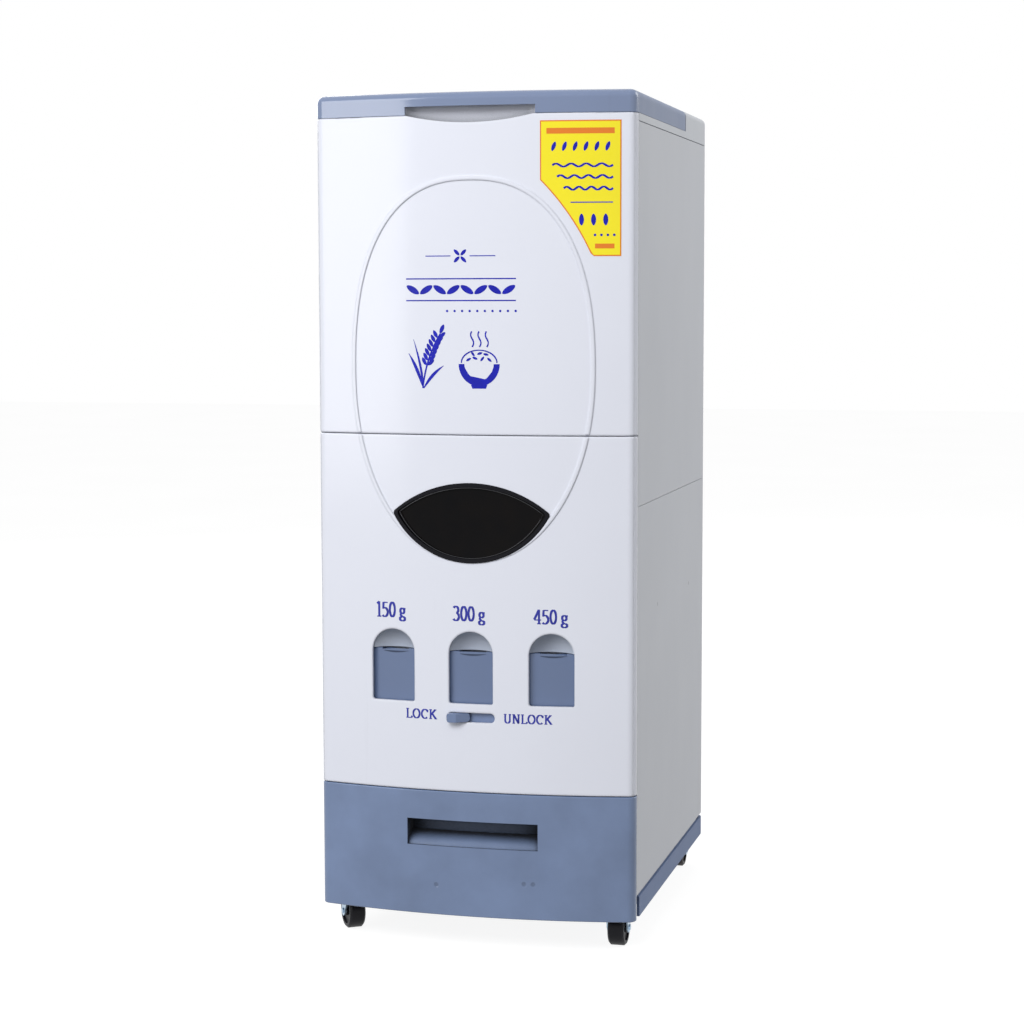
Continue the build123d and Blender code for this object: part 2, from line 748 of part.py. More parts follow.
def chamber_points(rear):
    """Side outline of a chamber about the shaft, its rear wall at the given depth."""
    low_mouth = mouth_high - chamber_wall
    mouth_rear = mouth_depth / 2
    roof_slope = (low_mouth - shoulder_z) / (shoulder_y - mouth_rear)
    if rear <= shoulder_y:
        rear_z = low_mouth - roof_slope * (rear - mouth_rear)
        back = [(rear, rear_z), (rear, -rear_z)]
    else:
        rise = (rear - shoulder_y) * tan(radians(floor_slope))
        back = [
            (shoulder_y, shoulder_z),
            (rear, shoulder_z),
            (rear, rise - shoulder_z),
            (shoulder_y, -shoulder_z),
        ]
    return [
        (-mouth_rear, -low_mouth),
        (-mouth_rear, low_mouth),
        (mouth_rear, low_mouth),
        *back,
        (mouth_rear, -low_mouth),
    ]


def chamber_volume(rear):
    """Volume a chamber holds between its two shutters, in cubic millimetres."""
    points = chamber_points(rear)
    turns = zip(points, points[1:] + points[:1])
    area = abs(sum(a[0] * b[1] - b[0] * a[1] for a, b in turns)) / 2
    return (area + 2 * chamber_wall * mouth_depth) * chamber_width


def chamber_rear(grams):
    """Rear wall place that gives a chamber the volume of its portion."""
    wanted = grams / rice_density * 1000
    near = mouth_depth / 2 + 0.1
    far = 2 * chamber_radius
    for _ in range(40):
        middle = (near + far) / 2
        if chamber_volume(middle) < wanted:
            near = middle
        else:
            far = middle
    return middle


def side_plane(x):
    """Plane across the cabinet at x, with the shaft at its origin."""
    return Plane(origin=(x, pivot_y, pivot_z), x_dir=(0, 1, 0), z_dir=(1, 0, 0))


chamber_half = chamber_width / 2 + chamber_wall
spine_lap = 0.8
spine_front = mouth_depth / 2 - spine_lap
spine_depth = 12.0
spine_height = 9.0
end_plate_wall = 3.0
end_plate_gap = 6.0
end_plate_x = lever_pitch + chamber_half + end_plate_gap
shaft_boss_radius = 11.0
shaft_end = 2.0
arm_height = 18.0
tab_inset = 6.0
tab_half = 8.0
tab_wall = 3.0
guide_back_inset = lever_recess + well_depth + well_wall
arm_front_y = bow_y(end_plate_x + end_plate_wall, guide_back_inset) + seat_gap

with BuildPart() as metering_body:
    for lever_x, grams in zip(lever_places, portion_grams):
        with BuildSketch(side_plane(lever_x)) as chamber:
            Polygon(*chamber_points(chamber_rear(grams)), align=None)
        with BuildSketch(side_plane(lever_x)) as chamber_outside:
            add(chamber.sketch_local)
            offset(amount=chamber_wall, kind=Kind.INTERSECTION)
        extrude(chamber_outside.sketch, amount=chamber_half, both=True)
        extrude(chamber.sketch, amount=chamber_width / 2, both=True, mode=Mode.SUBTRACT)
        with BuildSketch(side_plane(lever_x)) as throat:
            Rectangle(mouth_depth, 2 * mouth_high + 2)
        extrude(throat.sketch, amount=chamber_width / 2, both=True, mode=Mode.SUBTRACT)
    for low_x, high_x in (
        (-end_plate_x, -lever_pitch - chamber_half),
        (-lever_pitch + chamber_half, -chamber_half),
        (chamber_half, lever_pitch - chamber_half),
        (lever_pitch + chamber_half, end_plate_x),
    ):
        with BuildSketch(side_plane(low_x)) as spine:
            with Locations((spine_front, 0)):
                Rectangle(spine_depth, spine_height, align=(Align.MIN, Align.CENTER))
        extrude(spine.sketch, amount=high_x - low_x)
    for end_x in (-end_plate_x - end_plate_wall, end_plate_x):
        with BuildSketch(side_plane(end_x)) as end_plate:
            arm_reach = spine_front + spine_depth + pivot_y - arm_front_y
            with Locations((spine_front + spine_depth, 0)):
                Rectangle(arm_reach, arm_height, align=(Align.MAX, Align.CENTER))
            Circle(shaft_boss_radius)
        extrude(end_plate.sketch, amount=end_plate_wall)
    for tab_sign in (-1, 1):
        tab_x = tab_sign * (end_plate_x - tab_inset)
        low_z = pivot_z - arm_height / 2
        tab_face = front_rectangle(tab_x - tab_half, tab_x + tab_half, low_z, low_z + arm_height)
        add(bowed_layer(tab_face, guide_back_inset + seat_gap, guide_back_inset + seat_gap + tab_wall))
    shaft_length = 2 * (end_plate_x + end_plate_wall + shaft_end)
    with Locations(Location((0, pivot_y, pivot_z), (0, 90, 0))):
        Cylinder(shaft_radius + fixed_gap, shaft_length, mode=Mode.SUBTRACT)
save(metering_body.part, "metering_body")

with BuildPart() as gate_shaft:
    with Locations(Location((0, pivot_y, pivot_z), (0, 90, 0))):
        Cylinder(shaft_radius, shaft_length)
save(gate_shaft.part, "gate_shaft")

# Rocking gates: an inlet and an outlet shutter between two cheeks, with a slotted crank
gate_names = ("gate_150", "gate_300", "gate_450")
cheek_inner = chamber_half + cheek_gap
cheek_outer = cheek_inner + cheek_wall
shutter_inner = chamber_radius + shutter_gap
shutter_outer = shutter_inner + shutter_wall
shutter_free_turn = 0.2
inlet_start = 90 - mouth_turn - gate_turn - shutter_lap
inlet_end = 90 - mouth_turn - shutter_free_turn
outlet_start = -90 - mouth_turn - shutter_lap
outlet_end = -90 + mouth_turn + shutter_lap
bridge_place = 20.0
bridge_wall = 3.0
crank_height = 12.0
crank_tip = 6.0
crank_length = crank_radius + crank_tip
slot_lead = 5.0
slot_start = crank_radius - slot_lead


def sector_face(plane, inner, outer, start, end):
    """Ring sector about the plane's origin between two angles."""
    with BuildSketch(plane) as sector:
        with BuildLine():
            outer_arc = CenterArc((0, 0), outer, start, end - start)
            if inner > 0:
                inner_arc = CenterArc((0, 0), inner, start, end - start)
                Line(inner_arc @ 0, outer_arc @ 0)
                Line(inner_arc @ 1, outer_arc @ 1)
            else:
                Line((0, 0), outer_arc @ 0)
                Line((0, 0), outer_arc @ 1)
        make_face()
    return sector.sketch


def gate(x):
    """One rocking gate at rest, its inlet open and its outlet closed."""
    middle = side_plane(x)
    tilt = radians(gate_half_turn)
    crank_plane = Plane(
        origin=(x, pivot_y, pivot_z), x_dir=(0, -cos(tilt), sin(tilt)), z_dir=(-1, 0, 0)
    )
    with BuildPart() as rocker:
        for start, end in ((inlet_start, inlet_end), (outlet_start, outlet_end)):
            shutter = sector_face(middle, shutter_inner, shutter_outer, start, end)
            extrude(shutter, amount=cheek_outer, both=True)
            for cheek_x in (x - cheek_outer, x + cheek_inner):
                cheek = sector_face(side_plane(cheek_x), 0, shutter_outer, start, end)
                extrude(cheek, amount=cheek_wall)
        for cheek_x in (x - cheek_outer, x + cheek_inner):
            with BuildSketch(side_plane(cheek_x)) as hub:
                Circle(hub_radius)
            extrude(hub.sketch, amount=cheek_wall)
        for cheek_shift in (-cheek_outer, cheek_inner):
            with BuildSketch(crank_plane.offset(cheek_shift)) as arm:
                Rectangle(bridge_place + bridge_wall, crank_height, align=(Align.MIN, Align.CENTER))
            extrude(arm.sketch, amount=cheek_wall)
        with BuildSketch(crank_plane) as bridge:
            with Locations((bridge_place, 0)):
                Rectangle(bridge_wall, crank_height, align=(Align.MIN, Align.CENTER))
        extrude(bridge.sketch, amount=cheek_outer, both=True)
        with BuildSketch(crank_plane) as crank:
            with Locations((bridge_place, 0)):
                Rectangle(crank_length - bridge_place, crank_height, align=(Align.MIN, Align.CENTER))
            with Locations((slot_start, 0)):
                slot_width = 2 * (pin_radius + pin_slot_gap)
                Rectangle(crank_length, slot_width, align=(Align.MIN, Align.CENTER), mode=Mode.SUBTRACT)
        extrude(crank.sketch, amount=crank_wall / 2, both=True)
        with Locations(Location((x, pivot_y, pivot_z), (0, 90, 0))):
            Cylinder(shaft_radius + running_gap, 2 * cheek_outer + 2, mode=Mode.SUBTRACT)
    return rocker.part


for lever_x, gate_name in zip(lever_places, gate_names):
    save(gate(lever_x), gate_name)

# Levers: shallow channels with a grooved lip and an eared stem with a cross pin
lever_names = ("lever_150", "lever_300", "lever_450")
spring_names = ("lever_spring_150", "lever_spring_300", "lever_spring_450")
lever_half = opening_width / 2 + lever_overlap
lever_foot = 1.5
lever_low = opening_bottom - lever_foot
pin_rest_z = pivot_z + lever_travel / 2
pin_y = pivot_y - crank_radius
ear_height = 10.0
ear_inner = crank_wall / 2 + ear_gap
ear_outer = ear_inner + ear_wall
spring_x = 14.0
spring_inset = 13.0
spring_radius = 3.5
spring_bore = 2.7
spring_gap = 0.2
well_floor_gap = 0.5
well_bottom = lever_low - lever_travel - well_floor_gap
lip_groove_radius = 9.0
lip_groove_half = 15.0
lip_groove_depth = 2.5
lip_wall = 1.6


def lever(x):
    """One lever at rest, its face parallel to the bowed front."""
    with BuildPart() as body:
        face = front_rectangle(x - lever_half, x + lever_half, lever_low, lever_top)
        add(bowed_layer(face, lever_recess, lever_depth))
        hollow_half = lever_half - lever_wall
        hollow = front_rectangle(x - hollow_half, x + hollow_half, lever_low - 1, lever_top - 2 * lever_wall)
        add(bowed_layer(hollow, lever_recess + lever_wall, lever_depth + 1), mode=Mode.SUBTRACT)
        groove_y = bow_y(x, lever_recess + lip_wall + lip_groove_radius / 2)
        with BuildSketch(Plane.YZ.offset(x - lip_groove_half)) as groove:
            with Locations((groove_y, lever_top + lip_groove_radius - lip_groove_depth)):
                Circle(lip_groove_radius)
        extrude(groove.sketch, amount=2 * lip_groove_half, mode=Mode.SUBTRACT)
        for ear_x in (x - ear_outer, x + ear_inner):
            with BuildSketch(Plane.YZ.offset(ear_x)) as ear:
                with Locations((pin_y, pin_rest_z)):
                    Circle(ear_height / 2)
                ear_start_y = bow_y(x, lever_recess + lever_wall / 2)
                with Locations((pin_y, pin_rest_z)):
                    Rectangle(pin_y - ear_start_y, ear_height, align=(Align.MAX, Align.CENTER))
            extrude(ear.sketch, amount=ear_wall)
        with Locations(Location((x, pin_y, pin_rest_z), (0, 90, 0))):
            Cylinder(pin_radius, 2 * ear_outer)
    return body.part


for lever_x, lever_name in zip(lever_places, lever_names):
    save(lever(lever_x), lever_name)

for lever_x, spring_name in zip(lever_places, spring_names):
    spring_low = well_bottom + spring_gap
    spring_high = lever_top - 2 * lever_wall - spring_gap
    spring_y = bow_y(lever_x + spring_x, spring_inset)
    with BuildPart() as spring:
        with BuildSketch(Plane.XY.offset(spring_low)):
            with Locations((lever_x + spring_x, spring_y)):
                Circle(spring_radius)
                Circle(spring_bore, mode=Mode.SUBTRACT)
        extrude(amount=spring_high - spring_low)
    save(spring.part, spring_name)

# Lever guide: three wells with dished finger pockets, fixed behind the front panel
guide_margin = 5.0
guide_top_margin = 6.0
guide_half = end_plate_x + guide_margin
guide_front_inset = rim_depth + seat_gap
guide_bottom = well_bottom - well_wall
guide_top = arch_spring + opening_width / 2 + guide_top_margin
well_half = lever_half + lever_side_gap
well_back_inset = guide_back_inset - well_wall
dish_gap = 0.5
dish_start = lever_top + dish_gap
dish_depth = 13.0
dish_radius = ((opening_width / 2) ** 2 + dish_depth**2) / (2 * dish_depth)
stem_gap = 1.0
stem_half = ear_outer + stem_gap
stem_low = pin_rest_z - lever_travel - ear_height / 2 - stem_gap
stem_high = pin_rest_z + ear_height / 2 + stem_gap
lock_plate_above = 6.2
lock_plate_below = 20.8
lock_low = lock_slot_z - lock_plate_below
lock_high = lock_slot_z + lock_plate_above
lock_room_gap = 1.5
lock_room_high = lock_high + lock_room_gap
with BuildPart() as lever_guide:
    guide_face = front_rectangle(-guide_half, guide_half, guide_bottom, guide_top)
    add(bowed_layer(guide_face, guide_front_inset, guide_back_inset))
    for lever_x in lever_places:
        well = front_rectangle(lever_x - well_half, lever_x + well_half, well_bottom, dish_start)
        add(bowed_layer(well, guide_front_inset - 1, well_back_inset), mode=Mode.SUBTRACT)
        dish_y = bow_y(lever_x, guide_front_inset + dish_depth) - dish_radius
        with Locations((lever_x, dish_y, arch_spring)):
            Sphere(dish_radius, mode=Mode.SUBTRACT)
        stem_slot = front_rectangle(lever_x - stem_half, lever_x + stem_half, stem_low, stem_high)
        extrude(stem_slot, amount=front_reach, mode=Mode.SUBTRACT)
    room_right = lock_slot_width + lock_travel
    lock_room = front_rectangle(-lock_slot_width, room_right, guide_bottom - 1, lock_room_high)
    add(bowed_layer(lock_room, guide_front_inset - 1, lever_recess), mode=Mode.SUBTRACT)
save(lever_guide.part, "lever_guide")

# Lock slide: a knob through the slot, a cover plate and a bar behind the guide
lock_plate_front = apex_y + lock_plate_inset
lock_plate_back = lock_plate_front + lock_plate_wall
lock_end_gap = 1.0
lock_rest_x = -lock_slot_width / 2 + lock_end_gap + lock_knob_length / 2
lock_bar_lead = 1.0
lock_bar_y = pin_y - lock_bar_lead
lock_bar_wall = 2.0
lock_bar_height = 12.0
lock_bar_overhang = 22.0
lock_bar_half = lever_pitch + lock_bar_overhang
lock_stem_gap = 0.6
lock_stem_high = guide_bottom - lock_stem_gap
lock_tooth_width = 12.0
lock_tooth_gap = 8.0
lock_tooth_high = stem_low - lock_tooth_gap
plate_lap_left = 5.0
plate_lap_right = 35.0
knob_clearance = 0.6
knob_bevel = 2.0
knob_crest = 11.0
knob_low_edge = 1.0
knob_corner = 3.0
knob_height = lock_slot_height - 2 * knob_clearance
knob_left = lock_rest_x - lock_knob_length / 2
knob_right = lock_rest_x + lock_knob_length / 2
with BuildPart() as lock_knob:
    with BuildSketch(Plane.XZ.offset(-lock_plate_back)):
        with Locations((lock_rest_x, lock_slot_z)):
            RectangleRounded(lock_knob_length, knob_height, knob_corner)
    extrude(amount=lock_plate_inset + lock_plate_wall + lock_knob_proud)
    with BuildSketch(Plane.XY.offset(lock_slot_z - knob_height / 2)) as knob_wedge:
        Polygon(
            (knob_left, lock_plate_back),
            (knob_left, apex_y - lock_knob_proud + knob_bevel),
            (knob_left + knob_bevel, apex_y - lock_knob_proud),
            (knob_left + knob_crest, apex_y - lock_knob_proud),
            (knob_right, apex_y + knob_low_edge),
            (knob_right, lock_plate_back),
            align=None,
        )
    extrude(knob_wedge.sketch, amount=knob_height, mode=Mode.INTERSECT)

with BuildPart() as lock_slide:
    with BuildSketch(Plane.XZ.offset(-lock_plate_back)):
        with Locations((knob_left - plate_lap_left, lock_low)):
            plate_length = lock_knob_length + plate_lap_left + plate_lap_right
            Rectangle(plate_length, lock_high - lock_low, align=(Align.MIN, Align.MIN))
    extrude(amount=lock_plate_wall)
    add(lock_knob.part)
    with BuildSketch(Plane.XY.offset(lock_low)):
        with Locations((lock_rest_x, lock_plate_back - lock_plate_wall / 2)):
            stem_reach = lock_bar_y - lock_plate_back + lock_plate_wall / 2 + lock_bar_wall
            Rectangle(lock_knob_length, stem_reach, align=(Align.CENTER, Align.MIN))
    extrude(amount=lock_stem_high - lock_low)
    with BuildSketch(Plane.XZ.offset(-lock_bar_y - lock_bar_wall)):
        with Locations((lock_rest_x, lock_low)):
            Rectangle(2 * lock_bar_half, lock_bar_height, align=(Align.CENTER, Align.MIN))
        with Locations((lock_rest_x, lock_low)):
            with GridLocations(lever_pitch, 1, 3, 1):
                tooth_height = lock_tooth_high - lock_low
                Rectangle(lock_tooth_width, tooth_height, align=(Align.CENTER, Align.MIN))
    extrude(amount=lock_bar_wall)
save(lock_slide.part, "lock_slide")

# Drawer: bowed front with a recessed handle, and a tray that catches the rice
handle_rise = 8.0
ramp_height = 13.0
ramp_middle = 10.0
ramp_middle_rise = 9.0
pocket_low = handle_bottom - panel_wall
pocket_high = handle_top + handle_rise + panel_wall
pocket_half = handle_half_width + panel_wall
ramp_low = handle_bottom - panel_wall / 2
drawer_rib_x = 100.0
drawer_rib_wall = 3.0
drawer_rib_foot = 6.0
drawer_rib_drop = 12.0
drawer_rib_low = tray_bottom + drawer_rib_foot
drawer_rib_high = tray_top - drawer_rib_drop
ramp_lip_y = apex_y + panel_wall
ramp_back_y = apex_y + handle_depth + 1
with BuildPart() as handle_ramp:
    ramp_turn = degrees(asin(pocket_half / (bow_radius - handle_depth)))
    bow_axis = Axis((0, bow_centre_y, 0), (0, 0, 1))
    ramp_lip = (ramp_lip_y, handle_bottom)
    ramp_crest = (ramp_back_y, handle_bottom + ramp_height)
    with BuildSketch(Plane.YZ) as ramp_side:
        with BuildLine():
            ThreePointArc(ramp_lip, (apex_y + ramp_middle, handle_bottom + ramp_middle_rise), ramp_crest)
            Polyline(ramp_crest, (ramp_back_y, ramp_low), (ramp_lip_y, ramp_low), ramp_lip)
        make_face()
    revolve(ramp_side.sketch.rotate(bow_axis, -ramp_turn), axis=bow_axis, revolution_arc=2 * ramp_turn)
    ramp_width = front_rectangle(-pocket_half, pocket_half, ramp_low, handle_top)
    extrude(ramp_width, amount=front_reach, mode=Mode.INTERSECT)

with BuildPart() as drawer_front:
    front_shell(drawer_bottom, drawer_top - drawer_bottom)
    pocket = front_rectangle(-pocket_half, pocket_half, pocket_low, pocket_high)
    add(bowed_layer(pocket, panel_wall / 2, handle_depth + panel_wall))
    pocket_mouth = front_rectangle(-handle_half_width, handle_half_width, handle_bottom, handle_top)
    add(bowed_layer(pocket_mouth, -1, handle_depth), mode=Mode.SUBTRACT)
    pocket_inside = front_rectangle(
        -handle_half_width, handle_half_width, handle_bottom, handle_top + handle_rise
    )
    add(bowed_layer(pocket_inside, panel_wall, handle_depth), mode=Mode.SUBTRACT)
    add(handle_ramp.part)
    for rib_x in (-drawer_rib_x - drawer_rib_wall, drawer_rib_x):
        rib_face = front_rectangle(rib_x, rib_x + drawer_rib_wall, drawer_rib_low, drawer_rib_high)
        add(bowed_layer(rib_face, panel_wall / 2, front_plane_setback))
    with BuildSketch(Plane.XY.offset(drawer_bottom)) as rib_trim:
        with Locations((0, tray_front_y - seat_gap)):
            Rectangle(cabinet_width, front_reach, align=(Align.CENTER, Align.MIN))
    extrude(rib_trim.sketch, amount=drawer_top - drawer_bottom, mode=Mode.SUBTRACT)
save(drawer_front.part, "drawer_front")

tray_corner = 6.0
with BuildPart() as drawer_tray:
    with BuildSketch(Plane.XY.offset(tray_bottom)):
        with Locations((0, (tray_front_y + tray_rear_y) / 2)):
            RectangleRounded(2 * tray_half_width, tray_rear_y - tray_front_y, tray_corner)
    extrude(amount=tray_top - tray_bottom)
    offset(amount=-tray_wall, openings=faces().sort_by(Axis.Z)[-1])
save(drawer_tray.part, "drawer_tray")

# Runners under the tray, on the base floor
runner_low = base_floor + base_floor_wall
runner_wall = 3.0
runner_ledge = 8.0
runner_rise = 16.0
runner_front_gap = 6.0
runner_rear_gap = 31.65
runner_front_y = apron_front_y + runner_front_gap
runner_length = rear_y - runner_rear_gap - runner_front_y
with BuildPart() as left_runner:
    with BuildSketch(Plane.XZ.offset(-runner_front_y)):
        outer_x = -tray_half_width - runner_gap - runner_wall
        with Locations((outer_x, runner_low)):
            Rectangle(runner_wall, tray_bottom - runner_low + runner_rise, align=(Align.MIN, Align.MIN))
            ledge_high = tray_bottom - runner_gap - runner_low
            Rectangle(runner_wall + runner_ledge, ledge_high, align=(Align.MIN, Align.MIN))
    extrude(amount=-runner_length)
save(left_runner.part, "left_runner")

with BuildPart() as right_runner:
    add(mirror(left_runner.part, about=Plane.YZ, mode=Mode.PRIVATE))
save(right_runner.part, "right_runner")

# Castors: plate with kingpin, fork, axle and wheel
plate_high = base_floor
plate_low = plate_high - castor_plate_wall
race_radius = 12.0
race_height = 2.6
race_gap = 0.2
fork_top_high = plate_low - race_height - race_gap
fork_top_radius = race_radius + 2.0
fork_boss_radius = 6.0
fork_top_wall = 2.2
rivet_radius = 6.5
rivet_wall = 1.8
kingpin_recess = 1.0
axle_end = 1.2
plate_corner = 5.0
fork_half = wheel_width / 2 + fork_gap + fork_wall
wheel_half = wheel_width / 2
wheel_bore = axle_radius - fixed_gap + running_gap
hub_thickness = 3.0
tyre_thickness = 5.0
wheel_hub_radius = axle_radius + hub_thickness
wheel_rim_radius = wheel_radius - tyre_thickness
wheel_recess = 2.0
tread_chamfer = 2.0
castor_places = {
    "front_left": (-half_width + castor_inset_side, corner_line_y + castor_front, -35.0),
    "front_right": (half_width - castor_inset_side, corner_line_y + castor_front, 0.0),
    "rear_left": (-half_width + castor_inset_side, rear_y - castor_rear, 10.0),
    "rear_right": (half_width - castor_inset_side, rear_y - castor_rear, 0.0),
}


def castor(name, x, y, heading):
    """The four pieces of one castor, trailing towards the heading from +Y."""
    turn = radians(heading)
    trail_dir = (sin(turn), cos(turn), 0)
    side_dir = (cos(turn), -sin(turn), 0)
    wheel_plane = Plane(origin=(x, y, 0), x_dir=trail_dir, z_dir=side_dir)

    def level(z):
        """Level plane through the castor, turned with its heading."""
        return Plane(origin=(x, y, z), x_dir=side_dir, z_dir=(0, 0, 1))

    with BuildPart() as plate:
        with BuildSketch(Plane(origin=(x, y, plate_low))):
            RectangleRounded(castor_plate_size, castor_plate_size, plate_corner)
        extrude(amount=castor_plate_wall)
        with BuildSketch(level(plate_low - race_height)):
            Circle(race_radius)
        extrude(amount=race_height)
        with BuildSketch(level(fork_top_high - fork_top_wall - race_gap - rivet_wall)):
            Circle(rivet_radius)
        extrude(amount=rivet_wall)
        with BuildSketch(level(fork_top_high - fork_top_wall - rivet_wall)):
            Circle(kingpin_radius)
        extrude(amount=plate_high - fork_top_high + fork_top_wall + rivet_wall - kingpin_recess)
    save(plate.part, f"{name}_castor_plate")

    with BuildPart() as fork:
        with BuildSketch(level(fork_top_high - fork_top_wall)):
            Circle(fork_top_radius)
            Rectangle(2 * fork_half, 2 * race_radius)
        extrude(amount=fork_top_wall)
        for leg_start in (-fork_half, fork_half - fork_wall):
            with BuildSketch(wheel_plane.offset(leg_start)):
                with BuildLine():
                    Polyline(
                        (-race_radius, fork_top_high),
                        (race_radius, fork_top_high),
                        (castor_trail + fork_boss_radius, wheel_radius),
                        (castor_trail - fork_boss_radius, wheel_radius),
                        close=True,
                    )
                make_face()
                with Locations((castor_trail, wheel_radius)):
                    Circle(fork_boss_radius)
                    Circle(axle_radius, mode=Mode.SUBTRACT)
            extrude(amount=fork_wall)
        with BuildSketch(level(fork_top_high - fork_top_wall - 1)):
            Circle(kingpin_radius + running_gap)
        extrude(amount=fork_top_wall + 2, mode=Mode.SUBTRACT)
    save(fork.part, f"{name}_fork")

    with BuildPart() as axle:
        with BuildSketch(wheel_plane.offset(-fork_half - axle_end)):
            with Locations((castor_trail, wheel_radius)):
                Circle(axle_radius - fixed_gap)
        extrude(amount=2 * (fork_half + axle_end))
    save(axle.part, f"{name}_axle")

    hub_centre = (x + castor_trail * sin(turn), y + castor_trail * cos(turn), wheel_radius)
    profile_plane = Plane(origin=hub_centre, x_dir=side_dir, z_dir=(-sin(turn), -cos(turn), 0))
    with BuildPart() as wheel:
        with BuildSketch(profile_plane):
            with BuildLine():
                half_profile = Polyline(
                    (0, wheel_bore),
                    (wheel_half, wheel_bore),
                    (wheel_half, wheel_hub_radius),
                    (wheel_half - wheel_recess, wheel_hub_radius),
                    (wheel_half - wheel_recess, wheel_rim_radius),
                    (wheel_half, wheel_rim_radius),
                    (wheel_half, wheel_radius - tread_chamfer),
                    (wheel_half - tread_chamfer, wheel_radius),
                    (0, wheel_radius),
                )
                mirror(half_profile, about=Plane.YZ)
            make_face()
        revolve(axis=Axis(hub_centre, side_dir))
    save(wheel.part, f"{name}_wheel")


for castor_name, (castor_x, castor_y, castor_heading) in castor_places.items():
    castor(castor_name, castor_x, castor_y, castor_heading)
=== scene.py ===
import json
import math

import bmesh
import bpy
from mathutils import Matrix, Vector


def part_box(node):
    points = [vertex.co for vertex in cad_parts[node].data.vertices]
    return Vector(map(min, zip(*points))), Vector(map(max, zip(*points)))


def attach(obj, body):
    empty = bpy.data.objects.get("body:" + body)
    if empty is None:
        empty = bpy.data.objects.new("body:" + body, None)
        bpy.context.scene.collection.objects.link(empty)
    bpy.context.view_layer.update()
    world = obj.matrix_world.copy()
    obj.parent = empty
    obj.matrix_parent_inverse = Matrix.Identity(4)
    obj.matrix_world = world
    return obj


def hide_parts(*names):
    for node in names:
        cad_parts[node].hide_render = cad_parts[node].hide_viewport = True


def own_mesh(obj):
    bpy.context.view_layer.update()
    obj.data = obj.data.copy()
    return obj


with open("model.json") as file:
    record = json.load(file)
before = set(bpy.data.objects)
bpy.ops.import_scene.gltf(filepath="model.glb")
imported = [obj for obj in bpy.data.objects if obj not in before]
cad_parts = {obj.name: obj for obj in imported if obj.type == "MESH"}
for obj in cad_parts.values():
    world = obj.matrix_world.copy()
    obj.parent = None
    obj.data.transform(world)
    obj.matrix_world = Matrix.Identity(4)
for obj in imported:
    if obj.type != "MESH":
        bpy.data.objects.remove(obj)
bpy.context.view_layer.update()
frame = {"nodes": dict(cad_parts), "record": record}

# The bowed front that the print lies on, in metres
lid_low, lid_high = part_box("lid")
half_width = lid_high[0]
apex_y = lid_low[1]
front_bow = 0.0193
bow_radius = (half_width**2 + front_bow**2) / (2 * front_bow)
print_proud = 0.00012

portions = ("150", "300", "450")
castors = ("front_left", "front_right", "rear_left", "rear_right")
white = (1.0, 1.0, 1.0, 1.0)


def bow_y(x, inset=0.0):
    """Y of the bowed front at x, measured inset from the outside face."""
    return apex_y + bow_radius - math.sqrt((bow_radius - inset) ** 2 - x**2)


def front_y(x, z):
    """Y of the bowed front at a place, the same at every height."""
    return bow_y(x)


def between(low, high, count):
    """Evenly spaced numbers from low to high, with count steps between them."""
    return [low + (high - low) * step / count for step in range(count + 1)]


def full_turn(count):
    """Evenly spaced angles round a full turn."""
    return [2 * math.pi * step / count for step in range(count)]


# Shader nodes
def set_inputs(tree, node, inputs):
    """Link each named input to a socket, or set it to a value."""
    for name, value in inputs.items():
        if isinstance(value, bpy.types.NodeSocket):
            tree.links.new(value, node.inputs[name])
        else:
            node.inputs[name].default_value = value


def add_node(tree, kind, inputs, **settings):
    """Shader node of a kind, with its settings and inputs."""
    node = tree.nodes.new("ShaderNode" + kind)
    for name, value in settings.items():
        setattr(node, name, value)
    set_inputs(tree, node, inputs)
    return node


def noise(tree, place, scale, detail=3.0, stretch=(1.0, 1.0, 1.0)):
    """Noise in the object's own space, stretched along its axes."""
    mapping = add_node(tree, "Mapping", {"Vector": place, "Scale": stretch})
    vector = mapping.outputs["Vector"]
    pattern = add_node(tree, "TexNoise", {"Vector": vector, "Scale": scale, "Detail": detail})
    return pattern.outputs["Fac"]


def ramp(tree, source, low, high):
    """Colour between two values, over the range where noise mostly lies."""
    node = add_node(tree, "ValToRGB", {"Fac": source})
    for element, position, colour in zip(node.color_ramp.elements, (0.3, 0.7), (low, high)):
        element.position = position
        element.color = (*colour, 1.0)
    return node.outputs["Color"]


def span(tree, source, low, high, start=0.0, end=1.0):
    """Number that goes from low to high as the source goes from start to end."""
    limits = {"From Min": start, "From Max": end, "To Min": low, "To Max": high}
    return add_node(tree, "MapRange", {"Value": source, **limits}).outputs["Result"]


def combined(tree, operation, first, second):
    """Number made from two by an operation."""
    return add_node(tree, "Math", {0: first, 1: second}, operation=operation).outputs["Value"]


def along(tree, place, axis):
    """One coordinate of a place."""
    return add_node(tree, "SeparateXYZ", {"Vector": place}).outputs[axis]


def bump(tree, shader, source, distance, strength=0.3, edge=0.0):
    """Surface relief from a height, over edges softened by a radius."""
    inputs = {"Strength": strength, "Distance": distance, "Height": source}
    if edge:
        inputs["Normal"] = add_node(tree, "Bevel", {"Radius": edge}, samples=4).outputs["Normal"]
    set_inputs(tree, shader, {"Normal": add_node(tree, "Bump", inputs).outputs["Normal"]})


def scaled(colour, factor):
    """Colour made lighter or darker by a factor."""
    return tuple(min(1.0, part * factor) for part in colour)


def blend_colour(tree, share, low, high):
    """Colour between two colour sockets by a share."""
    return add_node(tree, "Mix", {"Factor": share, "A": low, "B": high}, data_type="RGBA").outputs["Result"]


def crowd(tree, reach):
    """1 on an open surface, towards 0 where the same object's own surfaces crowd it: the mask for the shade
    painted into recesses.
    """
    crowding = add_node(tree, "AmbientOcclusion", {"Distance": reach}, samples=6, only_local=True)
    return span(tree, crowding.outputs["AO"], 0.0, 1.0, start=0.35, end=0.92)


